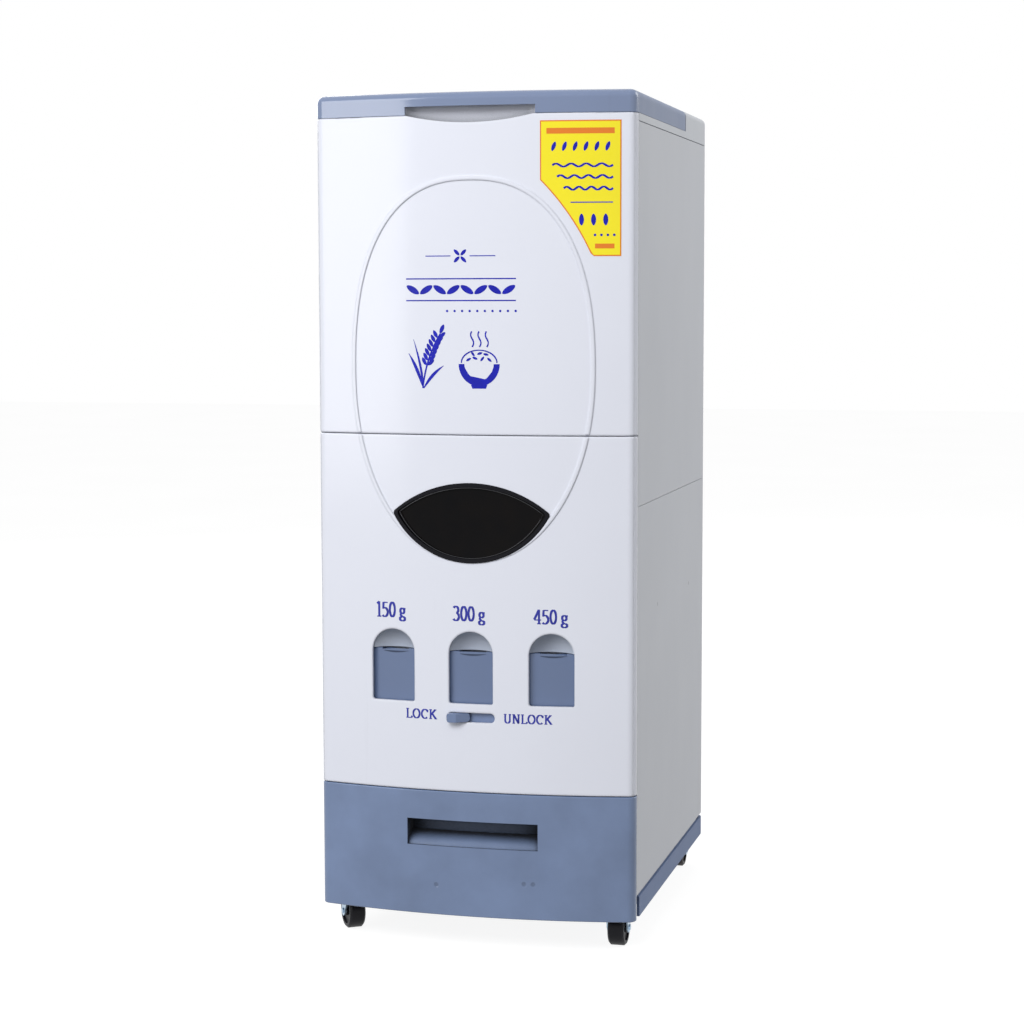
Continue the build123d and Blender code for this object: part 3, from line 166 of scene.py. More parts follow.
def paint_shade(tree, colour, unshaded_share, share):
    """Painted shade: colour made darker by a share where the mask given is low."""
    factor = span(tree, unshaded_share, 1 - share, 1.0)
    return add_node(tree, "VectorMath", {0: colour, "Scale": factor}, operation="SCALE").outputs["Vector"]


# Materials
def shader_parts(material):
    """A material's node tree, its shader and the object's own coordinates."""
    tree = material.node_tree
    return tree, tree.nodes["Principled BSDF"], tree.nodes["Texture Coordinate"].outputs["Object"]


def start_material(name, roughness, metallic=0.0):
    """New material with a shader and a node for the object's own coordinates."""
    material = bpy.data.materials.new(name)
    material.use_nodes = True
    tree = material.node_tree
    add_node(tree, "TexCoord", {})
    set_inputs(tree, tree.nodes["Principled BSDF"], {"Roughness": roughness, "Metallic": metallic})
    return material


def plastic(
    name, colour, roughness, mottle=0.03, mottle_scale=7.0, skin=0.00004, edge=0.0006, specular=0.5,
    recess=0.0, reach=0.02, painted_shade_above=None,
):
    """Moulded plastic with slow colour change, uneven gloss, faint scuffs and a fine skin, and with shade
    painted into its recesses by a recess share.
    """
    scuff_tone = 0.965
    fade_height = 0.008
    material = start_material(name, roughness)
    tree, shader, place = shader_parts(material)
    slow = noise(tree, place, mottle_scale, detail=4.0)
    tint = ramp(tree, slow, scaled(colour, 1 - mottle), scaled(colour, 1 + mottle))
    worn = ramp(tree, slow, scaled(colour, scuff_tone - mottle), scaled(colour, scuff_tone + mottle))
    scratches = noise(tree, place, scale=70.0, detail=6.0, stretch=(1.0, 1.0, 0.06))
    scuffs = span(tree, scratches, 0.0, 1.0, start=0.7, end=0.78)
    tint = blend_colour(tree, scuffs, tint, worn)
    smears = noise(tree, place, scale=24.0, detail=5.0, stretch=(1.0, 1.0, 0.35))
    gloss = span(tree, smears, roughness - 0.05, roughness + 0.07)
    # Painted shade: the colour darkens where the object's own surfaces crowd it, only above a height if one
    # is given, and the gloss dulls there too.
    if recess:
        unshaded_share = crowd(tree, reach)
        if painted_shade_above is not None:
            height = along(tree, place, "Z")
            below = span(tree, height, 0.0, 1.0, start=painted_shade_above, end=painted_shade_above - fade_height)
            unshaded_share = combined(tree, "MAXIMUM", unshaded_share, below)
        tint = paint_shade(tree, tint, unshaded_share, recess)
        gloss = combined(tree, "MAXIMUM", gloss, span(tree, unshaded_share, 1.0, roughness - 0.1))
    set_inputs(tree, shader, {"Base Color": tint, "Roughness": gloss, "Specular IOR Level": specular})
    bump(tree, shader, noise(tree, place, scale=900.0, detail=2.0), skin, edge=edge)
    return material


def marked_plastic(name, colour, marks, radius, flatten, **look):
    """Plastic with small round moulding marks on a face, with shade painted inside them. Their relief takes
    the place of the skin's.
    """
    material = plastic(name, colour, **look)
    tree, shader, place = shader_parts(material)
    flat = add_node(tree, "VectorMath", {0: place, 1: flatten}, operation="MULTIPLY").outputs["Vector"]
    distances = [
        add_node(tree, "VectorMath", {0: flat, 1: mark}, operation="DISTANCE").outputs["Value"]
        for mark in marks
    ]
    nearest = distances[0]
    for distance in distances[1:]:
        nearest = combined(tree, "MINIMUM", nearest, distance)
    outside = span(tree, nearest, 0.0, 1.0, start=radius / 2, end=radius)
    # Painted shade: the colour is darkened inside each mark.
    plain = shader.inputs["Base Color"].links[0].from_socket
    set_inputs(tree, shader, {"Base Color": paint_shade(tree, plain, outside, 0.3)})
    bump(tree, shader, outside, 0.0005, strength=0.8)
    return material


def polished_lid(name, colour, **look):
    """Plastic with a glossy coat that sets in near the front."""
    dull_y = -0.19
    glossy_y = -0.202
    material = plastic(name, colour, **look)
    tree, shader, place = shader_parts(material)
    polish = span(tree, along(tree, place, "Y"), 0.0, 1.0, start=dull_y, end=glossy_y)
    set_inputs(tree, shader, {"Coat Weight": polish, "Coat Roughness": 0.1, "Coat IOR": 1.75})
    return material


def metal(name, colour, roughness):
    """Plated metal with fine drawn streaks and a cloudy tint."""
    material = start_material(name, roughness, metallic=1.0)
    tree, shader, place = shader_parts(material)
    cloud = noise(tree, place, scale=60.0, detail=4.0)
    tint = ramp(tree, cloud, scaled(colour, 0.86), scaled(colour, 1.1))
    streaks = noise(tree, place, scale=500.0, stretch=(1.0, 1.0, 0.08))
    gloss = span(tree, streaks, roughness - 0.08, roughness + 0.12)
    set_inputs(tree, shader, {"Base Color": tint, "Roughness": gloss})
    bump(tree, shader, streaks, 0.00003)
    return material


def smoked_glass(name):
    """Nearly black window, with a faint film on it."""
    material = start_material(name, roughness=0.08)
    tree, shader, place = shader_parts(material)
    film = noise(tree, place, scale=40.0, detail=5.0)
    set_inputs(tree, shader, {
        "Base Color": ramp(tree, film, (0.004, 0.004, 0.005), (0.006, 0.005, 0.005)),
        "Roughness": span(tree, film, 0.05, 0.12),
        "Transmission Weight": 0.12,
        "IOR": 1.3,
        "Specular IOR Level": 0.12,
    })
    bump(tree, shader, noise(tree, place, scale=300.0, detail=2.0), 0.00001)
    return material


def printed(name, colour):
    """Thin printed ink, slightly uneven."""
    material = start_material(name, roughness=0.3)
    tree, shader, place = shader_parts(material)
    tint = ramp(tree, noise(tree, place, scale=90.0), scaled(colour, 0.85), scaled(colour, 1.15))
    set_inputs(tree, shader, {"Base Color": tint, "Specular IOR Level": 0.2})
    bump(tree, shader, noise(tree, place, scale=1500.0), 0.00002)
    return material


front_colour = (0.75, 0.772, 0.858)
side_colour = (0.585, 0.605, 0.65)
trim_colour = (0.145, 0.2, 0.345)
drawer_colour = (0.16, 0.22, 0.366)
pale_colour = (0.5, 0.53, 0.58)
guide_colour = (0.5, 0.545, 0.63)
inner_colour = (0.6, 0.62, 0.66)
bezel_colour = (0.003, 0.003, 0.006)
bead_colour = (0.02, 0.021, 0.026)
castor_colour = (0.004, 0.004, 0.007)
zinc_colour = (0.42, 0.54, 0.66)
wire_colour = (0.52, 0.52, 0.5)
print_colour = (0.012, 0.016, 0.4)
word_colour = (0.038, 0.046, 0.34)
yellow_colour = (0.9, 0.78, 0.016)
orange_colour = (0.75, 0.2, 0.015)

# A recess value in a finish paints shade into that finish's own recesses: darkest in the drawer's handle
# recess, and on the upper front panel only in the lid notch, above the height given.
front_look = {"roughness": 0.14, "mottle": 0.008, "edge": 0.003, "specular": 0.42}
side_look = {"roughness": 0.5, "mottle": 0.015, "specular": 0.35}
bezel_look = {"roughness": 0.12, "mottle": 0.1, "specular": 0.16}
castor_look = {"roughness": 0.42, "mottle": 0.25, "skin": 0.0001, "specular": 0.2}
drawer_look = {"roughness": 0.22, "mottle": 0.11, "mottle_scale": 17.0, "recess": 0.97, "reach": 0.05}
label_look = {"roughness": 0.28, "mottle": 0.03}
upper_front_painted_shade = {"recess": 0.85, "reach": 0.05, "painted_shade_above": 0.89}

slot_finishes = {
    "front_panel": plastic("front_plastic", front_colour, **front_look),
    "side_panel": plastic("side_plastic", side_colour, **side_look),
    "trim_grey": plastic("trim_plastic", trim_colour, roughness=0.22, mottle=0.05, recess=0.6),
    "frame_pale": plastic("pale_plastic", pale_colour, roughness=0.36, mottle=0.03, recess=0.6),
    "bezel_black": plastic("bezel_plastic", bezel_colour, **bezel_look),
    "inner_plastic": plastic("inner_plastic", inner_colour, roughness=0.42, mottle=0.04, skin=0.00008),
    "castor_black": plastic("castor_plastic", castor_colour, **castor_look),
    "zinc_steel": metal("zinc_plate", zinc_colour, roughness=0.3),
    "spring_steel": metal("spring_wire", wire_colour, roughness=0.26),
    "window_glass": smoked_glass("smoked_window"),
}

# Places of the moulding marks, with 0 on the axis that their face looks along
side_marks = [(0.0, -0.07735, 0.367), (0.0, 0.12225, 0.3663)]
drawer_marks = [(-0.04, 0.0, 0.071), (0.058, 0.0, 0.077), (0.068, 0.0, 0.077)]
marked_side = marked_plastic(
    "side_plastic_marked", side_colour, side_marks, radius=0.0028, flatten=(0.0, 1.0, 1.0), **side_look,
)
marked_drawer = marked_plastic(
    "drawer_plastic", drawer_colour, drawer_marks, radius=0.0032, flatten=(1.0, 0.0, 1.0), **drawer_look,
)
# Painted shade: the levers take a darker copy of the trim plastic, for the shade they stand in below the
# finger dishes.
lever_plastic_painted_shade = plastic("lever_plastic_painted_shade", scaled(trim_colour, 0.86), roughness=0.24, mottle=0.05, recess=0.6)
node_finishes = {
    "left_lower_side": marked_side,
    "right_lower_side": marked_side,
    "drawer_front": marked_drawer,
    "lid": polished_lid("lid_plastic", scaled(trim_colour, 0.95), roughness=0.38, mottle=0.05, specular=0.3),
    "base_frame": plastic("base_plastic", trim_colour, roughness=0.55, mottle=0.06, specular=0.2),
    "lever_guide": plastic("guide_plastic", guide_colour, roughness=0.3, mottle=0.04, recess=0.6),
    "upper_front_panel": plastic("upper_front_plastic", front_colour, **front_look, **upper_front_painted_shade),
}
node_finishes.update({f"lever_{portion}": lever_plastic_painted_shade for portion in portions})

slots = {part["node"]: part["material_slot"] for part in frame["record"]["subparts"]}
for node_name, node in frame["nodes"].items():
    finish = node_finishes.get(node_name, slot_finishes[slots[node_name]])
    if not node.material_slots:
        node.data.materials.append(finish)
    for material_slot in node.material_slots:
        material_slot.material = finish

word_ink = printed("word_print", word_colour)
ink = printed("blue_print", print_colour)
label_yellow = plastic("label_yellow", yellow_colour, **label_look)
label_orange = plastic("label_orange", orange_colour, **label_look)
# Painted shade: a very dark copy of the trim plastic, laid on the levers where a groove's shade falls.
painted_groove_shade_finish = plastic("painted_groove_shade", scaled(trim_colour, 0.3), roughness=0.4, mottle=0.08, specular=0.2)
bead_finish = plastic("bead_plastic", bead_colour, roughness=0.1, mottle=0.1)


# Meshes
def finish_piece(name, mesh, material, body, place=(0.0, 0.0, 0.0)):
    """Object from a mesh, with its finish and place, riding on a body."""
    piece = bpy.data.objects.new(name, mesh)
    mesh.materials.append(material)
    bpy.context.scene.collection.objects.link(piece)
    piece.location = place
    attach(piece, body)
    return piece


def print_mesh(name, ribbons, outlines=(), proud=print_proud, surface=front_y):
    """Flat print laid on a surface, from ribbons and closed outlines in metres, facing the front."""
    work = bmesh.new()

    def corner(x, z):
        """Mesh point just in front of the surface."""
        return work.verts.new((x, surface(x, z) - proud, z))

    for pairs in ribbons:
        for near, far in zip(pairs, pairs[1:]):
            work.faces.new([corner(*near[0]), corner(*near[1]), corner(*far[1]), corner(*far[0])])
    for outline in outlines:
        work.faces.new([corner(*point) for point in outline])
    bmesh.ops.remove_doubles(work, verts=work.verts, dist=1e-7)
    work.normal_update()
    for face in work.faces:
        if face.normal.y > 0:
            face.normal_flip()
    mesh = bpy.data.meshes.new(name)
    work.to_mesh(mesh)
    work.free()
    return mesh


def join_rings(work, rings):
    """Faces between each ring of points and the next."""
    for near, far in zip(rings, rings[1:]):
        for step in range(len(near)):
            following = (step + 1) % len(near)
            work.faces.new([near[step], near[following], far[following], far[step]])


def smooth_mesh(name, work):
    """Mesh with smooth faces that point outwards."""
    bmesh.ops.recalc_face_normals(work, faces=work.faces)
    for face in work.faces:
        face.smooth = True
    mesh = bpy.data.meshes.new(name)
    work.to_mesh(mesh)
    work.free()
    return mesh


def tube(name, points, radius, sides=8):
    """Round tube along a line of points."""
    work = bmesh.new()
    rings = []
    for index, point in enumerate(points):
        before = Vector(points[max(index - 1, 0)])
        after = Vector(points[min(index + 1, len(points) - 1)])
        run = (after - before).normalized()
        side = run.cross(Vector((0, 0, 1)))
        side = side.normalized() if side.length > 1e-6 else Vector((1, 0, 0))
        lift = run.cross(side).normalized()
        rings.append([
            work.verts.new(Vector(point) + (side * math.cos(turn) + lift * math.sin(turn)) * radius)
            for turn in full_turn(sides)
        ])
    join_rings(work, rings)
    work.faces.new(rings[0])
    work.faces.new(list(reversed(rings[-1])))
    return smooth_mesh(name, work)


def screw_mesh(name, radius, height):
    """Domed screw head with a cross recess, facing down."""
    work = bmesh.new()
    turns = full_turn(24)
    cross_depth = height * 0.7
    cross_size = radius * 0.2
    arm_start = 0.92
    dome = ((1.0, 0.0), (0.96, 0.4), (0.75, 0.8), (0.4, 1.0))
    rings = []
    for width, fall in dome:
        size = radius * width
        z = -height * fall
        rings.append([work.verts.new((size * math.cos(turn), size * math.sin(turn), z)) for turn in turns])
    inner = []
    for turn in turns:
        arm = max(abs(math.cos(turn)), abs(math.sin(turn)))
        depth = -height + cross_depth * max(0.0, (arm - arm_start) / (1 - arm_start))
        inner.append(work.verts.new((cross_size * math.cos(turn), cross_size * math.sin(turn), depth)))
    rings.append(inner)
    join_rings(work, rings)
    work.faces.new(inner)
    return smooth_mesh(name, work)


# Lines and outlines of print, as pairs of x and z
def ellipse(x, z, radius_x, radius_z, start=0, end=360, steps=40):
    """Points along an ellipse between two angles."""
    turns = [math.radians(turn) for turn in between(start, end, steps)]
    return [(x + radius_x * math.cos(turn), z + radius_z * math.sin(turn)) for turn in turns]


def dense(points, step=0.004):
    """The same line with more points on its long runs."""
    line = [points[0]]
    for near, far in zip(points, points[1:]):
        parts = max(1, math.ceil(math.dist(near, far) / step))
        for part in range(1, parts + 1):
            share = part / parts
            line.append((near[0] + (far[0] - near[0]) * share, near[1] + (far[1] - near[1]) * share))
    return line


def direction(points, index):
    """Direction in which a line runs past one of its points."""
    before = points[max(index - 1, 0)]
    after = points[min(index + 1, len(points) - 1)]
    return Vector((after[0] - before[0], after[1] - before[1])).normalized()


def ribbon(points, thick, thin):
    """Pairs of points along a line, wide apart where it runs upright and close where it runs level."""
    points = dense(points)
    pairs = []
    for index, point in enumerate(points):
        run = direction(points, index)
        side = Vector((-run.y, run.x)) * (thick * abs(run.y) + thin * abs(run.x)) / 2
        pairs.append(((point[0] + side.x, point[1] + side.y), (point[0] - side.x, point[1] - side.y)))
    return pairs


def leaf(start, bend, end, width):
    """Pairs of points along a curved leaf that tapers to both ends."""
    steps = 14
    line = []
    for share in between(0.0, 1.0, steps):
        weights = ((1 - share) ** 2, 2 * share * (1 - share), share**2)
        line.append(tuple(
            sum(weight * value for weight, value in zip(weights, values)) for values in zip(start, bend, end)
        ))
    pairs = []
    for index, point in enumerate(line):
        run = direction(line, index)
        half = width / 2 * math.sin(math.pi * min(0.97, 0.06 + 0.94 * index / steps)) ** 0.8
        side = Vector((-run.y, run.x)) * half
        pairs.append(((point[0] + side.x, point[1] + side.y), (point[0] - side.x, point[1] - side.y)))
    return pairs


def outline_of(pairs):
    """Closed outline round a line's pairs of points."""
    return [left for left, right in pairs] + [right for left, right in reversed(pairs)]


def grain(x, z, length, turn, width):
    """Outline of one rice grain, pointed at both ends, its width a share of its length."""
    outline = []
    for angle in full_turn(20):
        lengthways = math.cos(angle) * length / 2
        sideways = math.sin(angle) * abs(math.sin(angle)) ** 0.3 * length * width / 2
        outline.append((
            x + lengthways * math.cos(turn) - sideways * math.sin(turn),
            z + lengthways * math.sin(turn) + sideways * math.cos(turn),
        ))
    return outline


def dot(x, z, radius):
    """Outline of a small round dot."""
    return [(x + radius * math.cos(turn), z + radius * math.sin(turn)) for turn in full_turn(24)]


def row(outline, x, z, pitch, count, *sizes):
    """Copies of an outline side by side."""
    return [outline(x + pitch * step, z, *sizes) for step in range(count)]


def wave(low_x, high_x, z, height, count):
    """Wavy level line."""
    steps = count * 12
    turns = between(0.0, 2 * math.pi * count, steps)
    return [(x, z + height * math.sin(turn)) for x, turn in zip(between(low_x, high_x, steps), turns)]


# Widths of strokes, as shares of a letter's height
upright_stroke = 0.15
level_stroke = 0.078

# Each letter's advance and strokes, in units that a word's width and height set
letters = {
    "1": (0.44, [[(0.24, 0.0), (0.24, 1.0)], [(0.24, 0.98), (0.08, 0.85)], [(0.08, 0.02), (0.4, 0.02)]]),
    "5": (0.54, [
        [(0.13, 0.95), (0.45, 0.95)], [(0.13, 0.97), (0.11, 0.52)],
        ellipse(0.22, 0.31, 0.23, 0.29, 118, -135),
    ]),
    "0": (0.54, [ellipse(0.26, 0.5, 0.19, 0.47)]),
    "3": (0.54, [ellipse(0.22, 0.75, 0.18, 0.22, 150, -80), ellipse(0.22, 0.28, 0.22, 0.26, 85, -145)]),
    "4": (0.56, [
        [(0.36, 0.98), (0.04, 0.3)], [(0.03, 0.28), (0.52, 0.28)], [(0.37, 0.0), (0.37, 1.0)],
        [(0.24, 0.02), (0.5, 0.02)],
    ]),
    "g": (0.5, [
        ellipse(0.22, 0.44, 0.15, 0.17), ellipse(0.23, -0.08, 0.19, 0.13),
        [(0.14, 0.29), (0.09, 0.18), (0.2, 0.06)], [(0.33, 0.58), (0.46, 0.6)],
    ]),
    " ": (0.26, []),
    "L": (0.64, [
        [(0.18, 0.0), (0.18, 1.0)], [(0.05, 0.98), (0.31, 0.98)], [(0.05, 0.02), (0.57, 0.02)],
        [(0.57, 0.02), (0.59, 0.22)],
    ]),
    "O": (0.8, [ellipse(0.38, 0.5, 0.3, 0.48)]),
    "C": (0.74, [ellipse(0.38, 0.5, 0.3, 0.48, 48, 312), [(0.62, 0.96), (0.62, 0.68)]]),
    "K": (0.78, [
        [(0.18, 0.0), (0.18, 1.0)], [(0.05, 0.98), (0.31, 0.98)], [(0.05, 0.02), (0.31, 0.02)],
        [(0.6, 0.98), (0.2, 0.44)], [(0.32, 0.58), (0.66, 0.02)], [(0.48, 0.98), (0.72, 0.98)],
        [(0.54, 0.02), (0.77, 0.02)],
    ]),
    "U": (0.8, [
        [(0.17, 1.0), (0.17, 0.32)], ellipse(0.39, 0.32, 0.22, 0.3, 180, 360), [(0.61, 0.32), (0.61, 1.0)],
        [(0.04, 0.98), (0.3, 0.98)], [(0.5, 0.98), (0.73, 0.98)],
    ]),
    "N": (0.82, [
        [(0.17, 0.0), (0.17, 1.0)], [(0.17, 1.0), (0.63, 0.0)], [(0.63, 0.0), (0.63, 1.0)],
        [(0.04, 0.98), (0.2, 0.98)], [(0.05, 0.02), (0.29, 0.02)], [(0.5, 0.98), (0.76, 0.98)],
    ]),
}


def add_print(name, ribbons, outlines=(), material=ink, proud=print_proud):
    """A piece of print on the front panels."""
    finish_piece(name, print_mesh(name, ribbons, outlines, proud), material, "cabinet")


def add_word(name, text, low_x, high_x, foot_z, height, weight=1.0):
    """A printed word that fills the width between two places, its strokes made heavier by a weight."""
    wide = (high_x - low_x) / sum(letters[letter][0] for letter in text)
    ribbons = []
    start = low_x
    for letter in text:
        advance, strokes = letters[letter]
        for stroke in strokes:
            line = [(start + x * wide, foot_z + z * height) for x, z in stroke]
            heaviness = height * weight
            ribbons.append(ribbon(line, upright_stroke * heaviness, level_stroke * heaviness))
        start += advance * wide
    add_print(name, ribbons, material=word_ink)


add_word("print_150", "150 g", -0.108, -0.073, 0.3625, 0.0165)
add_word("print_300", "300 g", -0.0195, 0.0165, 0.3615, 0.016)
add_word("print_450", "450 g", 0.069, 0.106, 0.3605, 0.0155)
add_word("print_lock", "LOCK", -0.074, -0.038, 0.2535, 0.0102, weight=1.25)
add_word("print_unlock", "UNLOCK", 0.036, 0.089, 0.2525, 0.0098, weight=1.25)


# Plain ornaments, of the scale and blue of the print they stand in for
def add_grain_band():
    """Row of slanted grains between two level lines."""
    left_x = -0.0705
    right_x = 0.0505
    foot_z = 0.7035
    top_z = 0.7265
    line_width = 0.0013
    first_grain = 0.0076
    grain_pitch = 0.0151
    grain_length = 0.0165
    lines = [ribbon([(left_x, z), (right_x, z)], line_width, line_width) for z in (foot_z, top_z)]
    grains = []
    for step in range(8):
        x = left_x + first_grain + grain_pitch * step
        slant = 0.55 if step % 2 else -0.55
        grains.append(grain(x, (foot_z + top_z) / 2, grain_length, slant, 0.4))
    add_print("print_band", lines, grains)


def add_divider():
    """Four grains in a cross, with a level line on each side."""
    centre_x = -0.01
    centre_z = 0.7505
    line_near = 0.0105
    line_far = 0.0385
    line_width = 0.001
    petal_reach = 0.0052
    petal_length = 0.0086
    lines = []
    for start, end in ((-line_far, -line_near), (line_near, line_far)):
        line = [(centre_x + start, centre_z), (centre_x + end, centre_z)]
        lines.append(ribbon(line, line_width, line_width))
    petals = []
    for turn in (math.radians(angle) for angle in (45, 135, 225, 315)):
        petal_x = centre_x + petal_reach * math.cos(turn)
        petal_z = centre_z + petal_reach * math.sin(turn)
        petals.append(grain(petal_x, petal_z, petal_length, turn, 0.42))
    add_print("print_divider", lines, petals)


def add_rice_ear():
    """Ear of rice on a bent stalk, with three leaves at its foot."""
    foot_x = -0.052
    foot_z = 0.6105
    lowest_grain = 0.42
    grain_pitch = 0.085
    grain_length = 0.0092
    tip_length = 0.0105

    def stalk(share):
        """Place on the stalk, from its foot to its tip."""
        return foot_x + 0.006 * share + 0.014 * share**2, foot_z + 0.062 * share - 0.004 * share**2

    grains = []
    for step in range(7):
        x, z = stalk(lowest_grain + step * grain_pitch)
        grains.append(grain(x + 0.0042, z + 0.0022, grain_length, math.radians(42), 0.44))
        grains.append(grain(x - 0.0034, z + 0.0034, grain_length, math.radians(118), 0.44))
    grains.append(grain(-0.0304, 0.6735, tip_length, math.radians(66), 0.42))
    leaves = [
        leaf((-0.0515, foot_z), (-0.058, 0.632), (-0.068, 0.6475), 0.0036),
        leaf((-0.0522, foot_z), (-0.0515, 0.628), (-0.0625, 0.6625), 0.0026),
        leaf((-0.051, foot_z), (-0.042, 0.626), (-0.0285, 0.6345), 0.0034),
    ]
    stalk_line = ribbon([stalk(share) for share in between(0.0, 1.0, 16)], 0.0016, 0.0012)
    add_print("print_rice_ear", [stalk_line], grains + [outline_of(pairs) for pairs in leaves])


def add_rice_bowl():
    """Bowl with a heap of rice and steam above it."""
    middle_x = 0.0105
    rim_z = 0.6365
    foot_z = 0.6105
    foot_top_z = 0.6145
    steam_z = 0.6545
    steam_height = 0.0165
    steam_sway = 0.0016
    grain_length = 0.0062
    heap_width = 0.0011
    bowl = ellipse(middle_x, rim_z, 0.0225, 0.0235, 180, 360, 24)
    heap = ellipse(middle_x, rim_z + 0.0012, 0.0195, 0.0135, 0, 180, 24)
    foot = [
        (middle_x - 0.009, foot_top_z), (middle_x - 0.0075, foot_z),
        (middle_x + 0.0075, foot_z), (middle_x + 0.009, foot_top_z),
    ]
    grains = [
        grain(middle_x + x, rim_z + z, grain_length, turn, 0.42)
        for x, z, turn in (
            (-0.0115, 0.0048, 0.5), (-0.0045, 0.0062, -0.4), (0.0035, 0.0055, 0.9), (0.0112, 0.0046, -0.7),
            (-0.0068, 0.0107, -0.9), (0.0008, 0.0112, 0.3), (0.0075, 0.0102, -0.2),
        )
    ]
    lines = [ribbon(heap, heap_width, heap_width)]
    for x in (-0.0075, 0.0005, 0.0085):
        wisp = [
            (middle_x + x + steam_sway * math.sin(share * 6.0), steam_z + steam_height * share)
            for share in between(0.0, 1.0, 14)
        ]
        lines.append(ribbon(wisp, 0.0013, 0.001))
    add_print("print_bowl", lines, [bowl, foot] + grains)


add_grain_band()
add_divider()
add_print("print_dots", [], row(dot, -0.0245, 0.6925, 0.0083, 10, 0.0013))
add_rice_ear()
add_rice_bowl()

# Yellow label with a plain design, its lower left corner cut off in an arc beside the raised oval
label_low = (0.0762, 0.7495)
label_high = (0.1605, 0.8905)
label_cut_centre = (-0.1131, 0.6418)
label_cut_radius = 0.2661
label_margin = 0.0013
edge_proud = 0.00014
sheet_proud = 0.00018
design_proud = 0.00022


def strips(edges, feet, top_z):
    """Upright strips that follow the bow, between neighbouring edges, from their feet to a height."""
    return [
        [(a, foot_a), (b, foot_b), (b, top_z), (a, top_z)]
        for a, b, foot_a, foot_b in zip(edges, edges[1:], feet, feet[1:])
    ]


def label_strips(inset):
    """Strips that fill the label's outline, drawn in by an inset."""
    edges = between(label_low[0] + inset, label_high[0] - inset, 24)
    feet = []
    for x in edges:
        reach = (label_cut_radius + inset) ** 2 - (x - label_cut_centre[0]) ** 2
        cut_z = label_cut_centre[1] + math.sqrt(max(reach, 0.0))
        feet.append(max(label_low[1] + inset, cut_z))
    return strips(edges, feet, label_high[1] - inset)


def bar(low_x, high_x, low_z, high_z, count=12):
    """Strips that fill a rectangle."""
    return strips(between(low_x, high_x, count), [low_z] * (count + 1), high_z)


line_end_x = 0.152
label_bars = bar(0.083, 0.1535, 0.8765, 0.8825) + bar(0.1335, 0.1535, 0.7575, 0.7625, 4)
label_lines = [
    ribbon(wave(low_x, line_end_x, z, 0.0016, 4), 0.0017, 0.0017)
    for low_x, z in ((0.089, 0.844), (0.094, 0.832), (0.101, 0.820))
]
label_lines.append(ribbon([(0.108, 0.8055), (line_end_x, 0.8055)], 0.0012, 0.0012))
label_shapes = row(grain, 0.0905, 0.8635, 0.0112, 6, 0.0105, math.radians(70), 0.4)
label_shapes += row(grain, 0.1195, 0.7875, 0.0125, 3, 0.0125, math.radians(90), 0.42)
label_shapes += row(dot, 0.1335, 0.7715, 0.0066, 4, 0.0014)
add_print("label_edge", [], label_strips(0.0), label_orange, edge_proud)
add_print("label_sheet", [], label_strips(label_margin), label_yellow, sheet_proud)
add_print("label_bars", [], label_bars, label_orange, design_proud)
add_print("label_print", label_lines, label_shapes, ink, design_proud)


# Small trim
def box_centre(low, high):
    """Centre of a box in X and Y."""
    return (low[0] + high[0]) / 2, (low[1] + high[1]) / 2


def add_painted_groove_shade(portion):
    """Painted shade: a dark crescent sheet across a lever's front, near its top, standing in for a groove's
    shade.
    """
    lever_name = f"lever_{portion}"
    lever = frame["nodes"][lever_name]
    low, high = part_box(lever_name)
    centre_x = box_centre(low, high)[0]

    def lever_y(x, z):
        """Y of the lever's front at a place, met by a ray that starts ahead of it."""
        start = (x, low[1] - 0.01, z)
        return lever.ray_cast(start, (0, 1, 0))[1].y

    crescent = leaf(
        (centre_x - 0.0135, high[2] - 0.0026), (centre_x + 0.001, high[2] - 0.0046),
        (centre_x + 0.0155, high[2] - 0.0022), 0.0019,
    )
    name = f"lever_painted_groove_shade_{portion}"
    finish_piece(name, print_mesh(name, [crescent], surface=lever_y), painted_groove_shade_finish, lever_name)


def arc_through(low_x, end_z, middle_z, count=48):
    """Points on the arc from (low_x, end_z) over (0, middle_z) to the mirrored end."""
    rise = middle_z - end_z
    radius = (low_x**2 + rise**2) / (2 * rise)
    return [
        (x, middle_z - radius + math.copysign(math.sqrt(radius**2 - x**2), rise))
        for x in between(low_x, -low_x, count)
    ]


def add_window_bead():
    """Thin raised bead round the window, inside its bezel."""
    bead_radius = 0.00045
    window_half = 0.0873
    window_foot = 0.424
    window_top = 0.51
    corner_z = 0.4775
    corner_inset = 0.0026
    inset = 0.0052
    proud = 0.0007
    half = window_half - inset - corner_inset
    over = arc_through(-half, corner_z, window_top - inset)
    under = arc_through(-half, corner_z, window_foot + inset)
    line = over + list(reversed(under))[1:]
    points = [(x, bow_y(x, -proud), z) for x, z in line]
    mesh = tube("window_bead", points, bead_radius, sides=6)
    finish_piece("window_bead", mesh, bead_finish, "cabinet")


def add_spring(portion):
    """Wound coil in place of a lever's spring, as long as that spring at rest. The coil here does not
    shorten with the lever.
    """
    turns = 13
    wire = 0.0004
    low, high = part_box(f"lever_spring_{portion}")
    centre_x, centre_y = box_centre(low, high)
    full_length = high[2] - low[2]
    coil_radius = (high[0] - low[0]) / 2 - wire
    points = []
    for share in between(0.0, 1.0, turns * 16):
        turn = 2 * math.pi * turns * share
        points.append((
            centre_x + coil_radius * math.cos(turn),
            centre_y + coil_radius * math.sin(turn),
            low[2] + wire + share * (full_length - 2 * wire),
        ))
    name = f"spring_coil_{portion}"
    mesh = tube(name, points, wire)
    spring = finish_piece(name, mesh, slot_finishes["spring_steel"], "cabinet")
    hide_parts(f"lever_spring_{portion}")
    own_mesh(spring)


